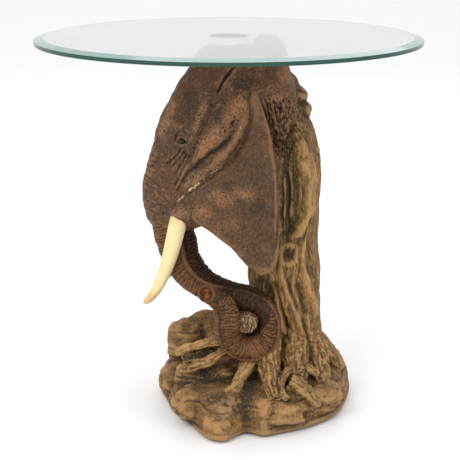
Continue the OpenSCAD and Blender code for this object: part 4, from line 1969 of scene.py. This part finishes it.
    # painted shade under the roots
    ROOT_DEEP = (
        brushed(((-58, -60, 79), (-42, -62, 84), (-26, -62, 90)), 5, 0.9),
        brushed(((86, -58, 78), (90, -74, 66)), 3, 0.9),
        Lump((78, -108, 52), (5, 6, 8), 0.8),
        Lump((40, -70, 62), (5, 14, 10), 0.8),
    )
    # warm paint on the tops of the roots, partly a painted highlight
    ROOT_WARM = (
        brushed(((-66, -61, 92), (-48, -64, 101), (-30, -62, 104)), 8, 0.8),
        brushed(((30, -64, 80), (18, -88, 68), (0, -106, 52)), 10, 0.8),
        Lump((100, -100, 50), (16, 12, 12), 0.5),
    )

    def _outline(self, angle: Array) -> Array:
        """Distance from the centre to the rock's edge at each angle.

        Args:
            angle: Angles about the centre.

        Returns:
            Distances in millimetres.
        """
        spots = np.array(self.edge, float) - self.centre
        ring = np.concatenate([spots[-2:], spots, spots[:2]])
        last = len(ring) - 1
        t = np.linspace(2 / last, (last - 1) / last, 720)
        fine = along_rows(ring, t)
        turn = np.degrees(np.arctan2(fine[:, 1], fine[:, 0])) % 360
        order = np.argsort(turn)
        reach = np.linalg.norm(fine, axis=1)[order]
        return np.interp(np.degrees(angle) % 360, turn[order], reach, period=360)

    def rock(self) -> Clay:
        """The rock base: a slab with ledges, rounded rocks and cracks.

        Returns:
            The rock.
        """
        rings = np.array(self.rings, float)

        def place(share: Array, angle: Array) -> Array:
            """Points of the slab under the outline.

            Args:
                share: Share of the way from end to end.
                angle: Angle round the piece.

            Returns:
                Points in millimetres.
            """
            z, part = along_rows(rings, share).T
            reach = self._outline(angle) * part
            x, y = self.centre[0] + reach * np.cos(angle), self.centre[1] + reach * np.sin(angle)
            return np.stack([x, y, z], axis=1)

        slab = Clay.lattice("rock_casting", around=160, along=60, place=place)
        lumps = []
        for i, (x, y, z, rx, ry, rz) in enumerate(self.mounds):
            clear_selection()
            bpy.ops.mesh.primitive_ico_sphere_add(subdivisions=4, radius=1)
            lump = Clay(bpy.context.object)
            ball = lump.points()
            boxy = ball * (1 + 0.14 * (np.abs(ball) ** 4).sum(axis=1) ** -0.25)[:, None] * 0.9
            boxy += 0.16 * Grain(Seed.MOUNDS + i).value(ball * 1.7)[:, None] * ball
            lump.set_points((boxy * (rx, ry, rz) + (x, y, z)) * MM)
            lumps.append(lump)
        slab.fuse(*lumps, voxel=1.9, smooth=10)
        broad, fine = Grain(Seed.ROCK), Grain(Seed.ROCK_CRACKS)
        at = slab.points() / MM
        lift = smooth_step(6, 16, at[:, 2])
        upright = 1 - np.abs(slab.normals()[:, 2]) ** 2
        slab.push((3.2 * broad.clouds(at / 36, 3) + 1.6 * (fine.creases(at / (30, 30, 15), 2) - 0.5)) * lift)
        at = slab.points() / MM
        layer = at[:, 2] + 6 * broad.clouds(at / 50)
        ledge = 1 - np.exp(-((np.sin(math.pi * layer / 13) / 0.3) ** 2))
        part = smooth_step(-0.3, 0.3, fine.value(at / (34, 34, 12)))
        crack = fine.creases(at / (9, 9, 5), 3) - 0.5
        slab.push((2.0 * (ledge - 0.8) * part * upright + 0.9 * crack) * (0.25 + 0.75 * lift))
        co = slab.points()
        co[:, 2] = np.maximum(co[:, 2], self.rings[0][0] * MM)
        slab.set_points(co)
        slab.tint(slab.points() / MM, warm=self.WARM, dark=self.DARK, deep=self.DEEP)
        slab.relief(reach=9, height=0.8)
        return slab

    def root_group(self) -> Clay:
        """The roots, as one twisting group with long grain.

        Returns:
            The roots.
        """
        tubes = [Tube(path).clay(f"root_{i}", 24, 2.5) for i, path in enumerate(self.roots)]
        roots = tubes[0]
        roots.obj.name = "root_castings"
        roots.fuse(*tubes[1:], voxel=1.6, smooth=7)
        broad, fine = Grain(Seed.ROOTS), Grain(Seed.ROOT_GRAIN)
        at = roots.points() / MM
        gap, run, turn = (np.full(len(at), far) for far in (np.inf, 0.0, 0.0))
        for i, path in enumerate(self.roots):
            near, length, angle = Tube(path).nearest(at)
            closer = near < gap
            gap[closer], run[closer], turn[closer] = near[closer], length[closer] + 90 * i, angle[closer]
        ring = np.stack([np.cos(turn), np.sin(turn)], axis=1)
        roots.push(
            3.6 * (broad.creases(np.column_stack([ring * 1.5, run / 30]), 2) - 0.5)
            + 1.9 * (fine.creases(np.column_stack([ring * 3.4, run / 18]), 2) - 0.5)
            + 2.8 * broad.clouds(at / 13, 3)
        )
        roots.tint(roots.points() / MM, warm=self.ROOT_WARM, dark=self.ROOT_DARK, deep=self.ROOT_DEEP)
        roots.relief(reach=8, height=0.8)
        return roots

    def build(self) -> None:
        """Makes, dresses and fixes the rock and the roots."""
        rock, bark = ROCK.build(), BARK.build()
        self.rock().finish(rock, BODY, "painted_rock", "rock_base")
        self.root_group().finish(bark, BODY, "painted_bark", "surface_roots")


# ---- Glass top, its fixing and the underside ----


@dataclass
class Top:
    """The glass, the metal disc bonded to it and the stud.

    Attributes:
        radius: Radius of the glass.
        facets: Sides of the glass's round.
        bevel: Width of the bevel round the glass.
        drop: Height that the bevel falls.
        arris: Break of the glass's sharp edges.
        chamfer: Break of the disc's edges.
        disc_facets: Sides of the disc's round.
        bore: Radius of the disc's tapped hole.
        bore_depth: Depth of that hole.
        pitch: The thread's pitch, in millimetres.
        thread: Height of the thread's flanks, in millimetres.
        lead: Height that the thread loses at its ends, in millimetres.
    """

    radius: float = 250 * MM
    facets: int = 288
    bevel: float = 12 * MM
    drop: float = 3 * MM
    arris: float = 0.35 * MM
    chamfer: float = 0.8 * MM
    disc_facets: int = 128
    bore: float = 5.2 * MM
    bore_depth: float = 8 * MM
    pitch: float = 1.5
    thread: float = 0.8
    lead: float = 0.7

    def glass(self) -> Clay:
        """The round pane with its bevel.

        Returns:
            The pane.
        """
        low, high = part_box("glass_top")
        piece = Clay.blank("glass_pane", self.radius, low.z, high.z, self.facets)
        pane = piece.obj
        pick_faces(pane, lambda face: face.normal.z > 0.9)
        bpy.ops.mesh.inset(thickness=self.bevel)
        bpy.ops.object.mode_set(mode="OBJECT")
        for point in pane.data.vertices:
            if point.co.z > high.z - MM and math.hypot(point.co.x, point.co.y) > self.radius - MM:
                point.co.z = high.z - self.drop
        piece.modify(
            "BEVEL", width=self.arris, segments=2, limit_method="ANGLE", angle_limit=math.radians(40)
        )
        # the pane's pale film is a painted reflection of the pale room, the bevel's teal film paints the
        # edge's green seen through it, the edge's film is the glass's own green
        for finish in (
            Glass("clear_glass", tint=paint(226, 224, 229), veil=0.2),
            Glass("green_edge", tint=paint(18, 74, 58), rough=0.15, veil=0.75),
            Glass("bevel_band", tint=paint(134, 166, 164), rough=0.1, veil=0.75),
        ):
            pane.data.materials.append(finish.build())
        for face in pane.data.polygons:
            rim = math.hypot(face.center.x, face.center.y)
            upright = abs(face.normal.z) < 0.8 and rim > self.radius - MM
            sloped = 0.8 < face.normal.z < 0.999 and rim < self.radius - MM
            face.material_index = 1 if upright else 2 if sloped else 0
        return piece

    def disc(self) -> Clay:
        """The metal disc, chamfered and tapped from below.

        Returns:
            The disc.
        """
        low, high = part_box("bonding_disc")
        radius = (high.x - low.x) / 2
        piece = Clay.blank("turned_disc", radius, low.z, high.z, self.disc_facets)
        pick_faces(piece.obj, lambda face: face.normal.z < -0.9)
        bpy.ops.mesh.inset(thickness=radius - self.bore)
        bpy.ops.mesh.extrude_region_move(TRANSFORM_OT_translate={"value": (0, 0, self.bore_depth)})
        bpy.ops.object.mode_set(mode="OBJECT")
        piece.modify(
            "BEVEL", width=self.chamfer, segments=3, limit_method="ANGLE", angle_limit=math.radians(50)
        )
        return piece

    def stud(self) -> Clay:
        """The threaded stud, its thread a true helix.

        Returns:
            The stud.
        """
        low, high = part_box("top_stud")
        radius, long = (high.x - low.x) / 2 / MM, (high.z - low.z) / MM

        def place(share: Array, angle: Array) -> Array:
            """Points of the thread's flanks and root.

            Args:
                share: Share of the way from end to end.
                angle: Angle round the piece.

            Returns:
                Points in millimetres.
            """
            z = low.z / MM + share * long
            turn = ((z - low.z / MM) / self.pitch + angle / (2 * math.pi)) % 1
            depth = self.thread * np.clip(2.4 * np.abs(turn - 0.5) - 0.15, 0, 1)
            end = smooth_step(0, 0.04, np.minimum(share, 1 - share))
            reach = radius - depth * end - self.lead * (1 - end)
            return np.stack([reach * np.cos(angle), reach * np.sin(angle), z], axis=1)

        return Clay.lattice("threaded_stud", around=48, along=150, place=place)

    def build(self) -> None:
        """Makes, dresses and fixes the top and its fixing."""
        steel = Metal("polished_steel", (0.93, 0.93, 0.94), 0.3)
        zinc = Metal("zinc_steel", (0.62, 0.62, 0.58), 0.32, 0.00004, 600)
        self.glass().finish(None, "top", "clear_glass", "glass_top", sharp=8)
        self.disc().finish(steel.build(), "top", "polished_steel", "bonding_disc", sharp=20)
        self.stud().finish(zinc.build(), "stud", "zinc_steel", "top_stud")
        dress("stud_insert", Metal("brass", (0.72, 0.5, 0.22), 0.28, 0.00004, 500).build())
        rubber = Plain("black_rubber", paint(24, 24, 24), paint(40, 40, 40), 700, 0.7, 0.0001)
        dress("disc_washer", rubber.build())


@dataclass
class Underside:
    """The cover board, its screws and the felt pads.

    Attributes:
        pad_round: Rounding of a pad's edge.
        pad_reach: Distance from a point of a pad within which every point is the same pad's.
        facets: Sides of a pad's round.
    """

    pad_round: float = 0.9 * MM
    pad_reach: float = 30 * MM
    facets: int = 48

    def build(self) -> None:
        """Makes, dresses and fixes what closes the base."""
        board = Plain("black_board", paint(26, 25, 24), paint(46, 43, 40), 260, 0.75, 0.0002)
        felt = Plain("felt", paint(66, 58, 50), paint(112, 100, 88), 1500, 0.95, 0.0006, 0.6)
        dress("bottom_cover", board.build())
        dress("cover_screws", Metal("screw_steel", (0.6, 0.6, 0.57), 0.3, 0.00004, 600).build())
        self.pads().finish(felt.build(), BODY, "felt", "felt_pads")

    def pads(self) -> Clay:
        """Felt pads with rounded edges, one over each disc of the frame.

        Returns:
            The pads, as one piece.
        """
        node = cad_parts["felt_pads"]
        co = np.array([v.co for v in node.data.vertices])
        low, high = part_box("felt_pads")
        middles: list[Array] = []
        for point in co:
            if not any(np.linalg.norm(point[:2] - m[:2]) < self.pad_reach for m in middles):
                near = co[np.linalg.norm(co[:, :2] - point[:2], axis=1) < self.pad_reach]
                middles.append((near.min(axis=0) + near.max(axis=0)) / 2)
        first = co[np.linalg.norm(co[:, :2] - middles[0][:2], axis=1) < self.pad_reach]
        radius = float(np.ptp(first[:, 0])) / 2
        made: list[Clay] = []
        for middle in middles:
            made.append(Clay.blank("felt_discs", radius, low.z, high.z, self.facets, tuple(middle[:2])))
            made[-1].modify("BEVEL", width=self.pad_round, segments=3, limit_method="ANGLE")
        choose(*(pad.obj for pad in made))
        bpy.ops.object.join()
        return made[0]


def dress(node: str, material: bpy.types.Material) -> None:
    """Gives a CAD piece that stays as it is its material.

    Args:
        node: The CAD node's name.
        material: The material.
    """
    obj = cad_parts[node]
    obj.data.materials.clear()
    obj.data.materials.append(material)
    LOG.info("%s: dressed", node)


# ---- Studio ----


@dataclass
class Studio:
    """A pale floor and backdrop, soft lights and the camera.

    Attributes:
        distance: The camera's distance in front of the table's middle.
        height: The camera's height.
        pitch: How far it looks down, in degrees.
        focal: Focal length on the sensor.
        sensor: Width of the sensor, in millimetres.
        shift: Sideways shift of the picture.
        floor_size: Width of the floor.
        floor_gap: How far the floor lies under the pads.
    """

    distance: float = 1.7
    height: float = 0.687
    pitch: float = 14.74
    focal: float = 102.6
    sensor: float = 36
    shift: float = 0.0028
    floor_size: float = 14
    floor_gap: float = 0.0002

    def build(self) -> None:
        """Sets up the studio."""
        self._camera()
        self._floor()
        self._light("key", (-1.2, -1.9, 2.0), size=1.2, power=26)
        self._light("fill", (1.9, -1.4, 1.3), size=1.6, power=8)
        self._light("back", (0.3, 1.9, 1.9), size=1.6, power=8)
        world = bpy.data.worlds.new("soft_room")
        bpy.context.scene.world = world
        world.use_nodes = True
        sky = world.node_tree.nodes["Background"]
        sky.inputs["Color"].default_value = (1, 1, 1, 1)
        sky.inputs["Strength"].default_value = 1.0
        bpy.context.scene.view_settings.view_transform = "Standard"
        LOG.info("studio ready")

    def _camera(self) -> None:
        """Stands the camera in front of the table."""
        lens = bpy.data.cameras.new("camera")
        lens.lens, lens.sensor_width, lens.shift_x = self.focal, self.sensor, self.shift
        camera = bpy.data.objects.new("camera", lens)
        bpy.context.scene.collection.objects.link(camera)
        camera.location = (0, -self.distance, self.height)
        camera.rotation_euler = (math.radians(90 - self.pitch), 0, 0)
        bpy.context.scene.camera = camera

    def _floor(self) -> None:
        """Lays a large pale floor just under the pads."""
        clear_selection()
        bpy.ops.mesh.primitive_plane_add(size=self.floor_size, location=(0, 0, -self.floor_gap))
        floor = bpy.context.object
        floor.name = "floor"
        s = Shader("pale_floor")
        s.link(s.mix(s.noise(3, 2), (0.93, 0.93, 0.93), (0.95, 0.95, 0.95)), s.shader.inputs["Base Color"])
        s.set(Roughness=0.9)
        floor.data.materials.append(s.material)

    def _light(self, name: str, at: Colour, size: float, power: float) -> None:
        """Hangs a square soft light aimed at the middle of the sculpture.

        Args:
            name: The light's name.
            at: Where it hangs, in metres.
            size: Its width.
            power: Its power in watts.
        """
        lamp = bpy.data.lights.new(name, "AREA")
        lamp.energy, lamp.size = power, size
        obj = bpy.data.objects.new(name, lamp)
        bpy.context.scene.collection.objects.link(obj)
        obj.location = at
        aim = np.array((0.02, 0, 0.25)) - np.array(at)
        obj.rotation_euler = (
            math.atan2(math.hypot(aim[0], aim[1]), -aim[2]), 0, math.atan2(aim[0], -aim[1]) + math.pi,
        )


def main() -> None:
    """Builds the studio and every piece."""
    logging.basicConfig(level=logging.INFO, format="%(name)s: %(message)s")
    for assembly in (Studio(), Head(), Trunk(), Stump(), Ground(), Top(), Underside()):
        assembly.build()


if __name__ == "__main__":
    main()
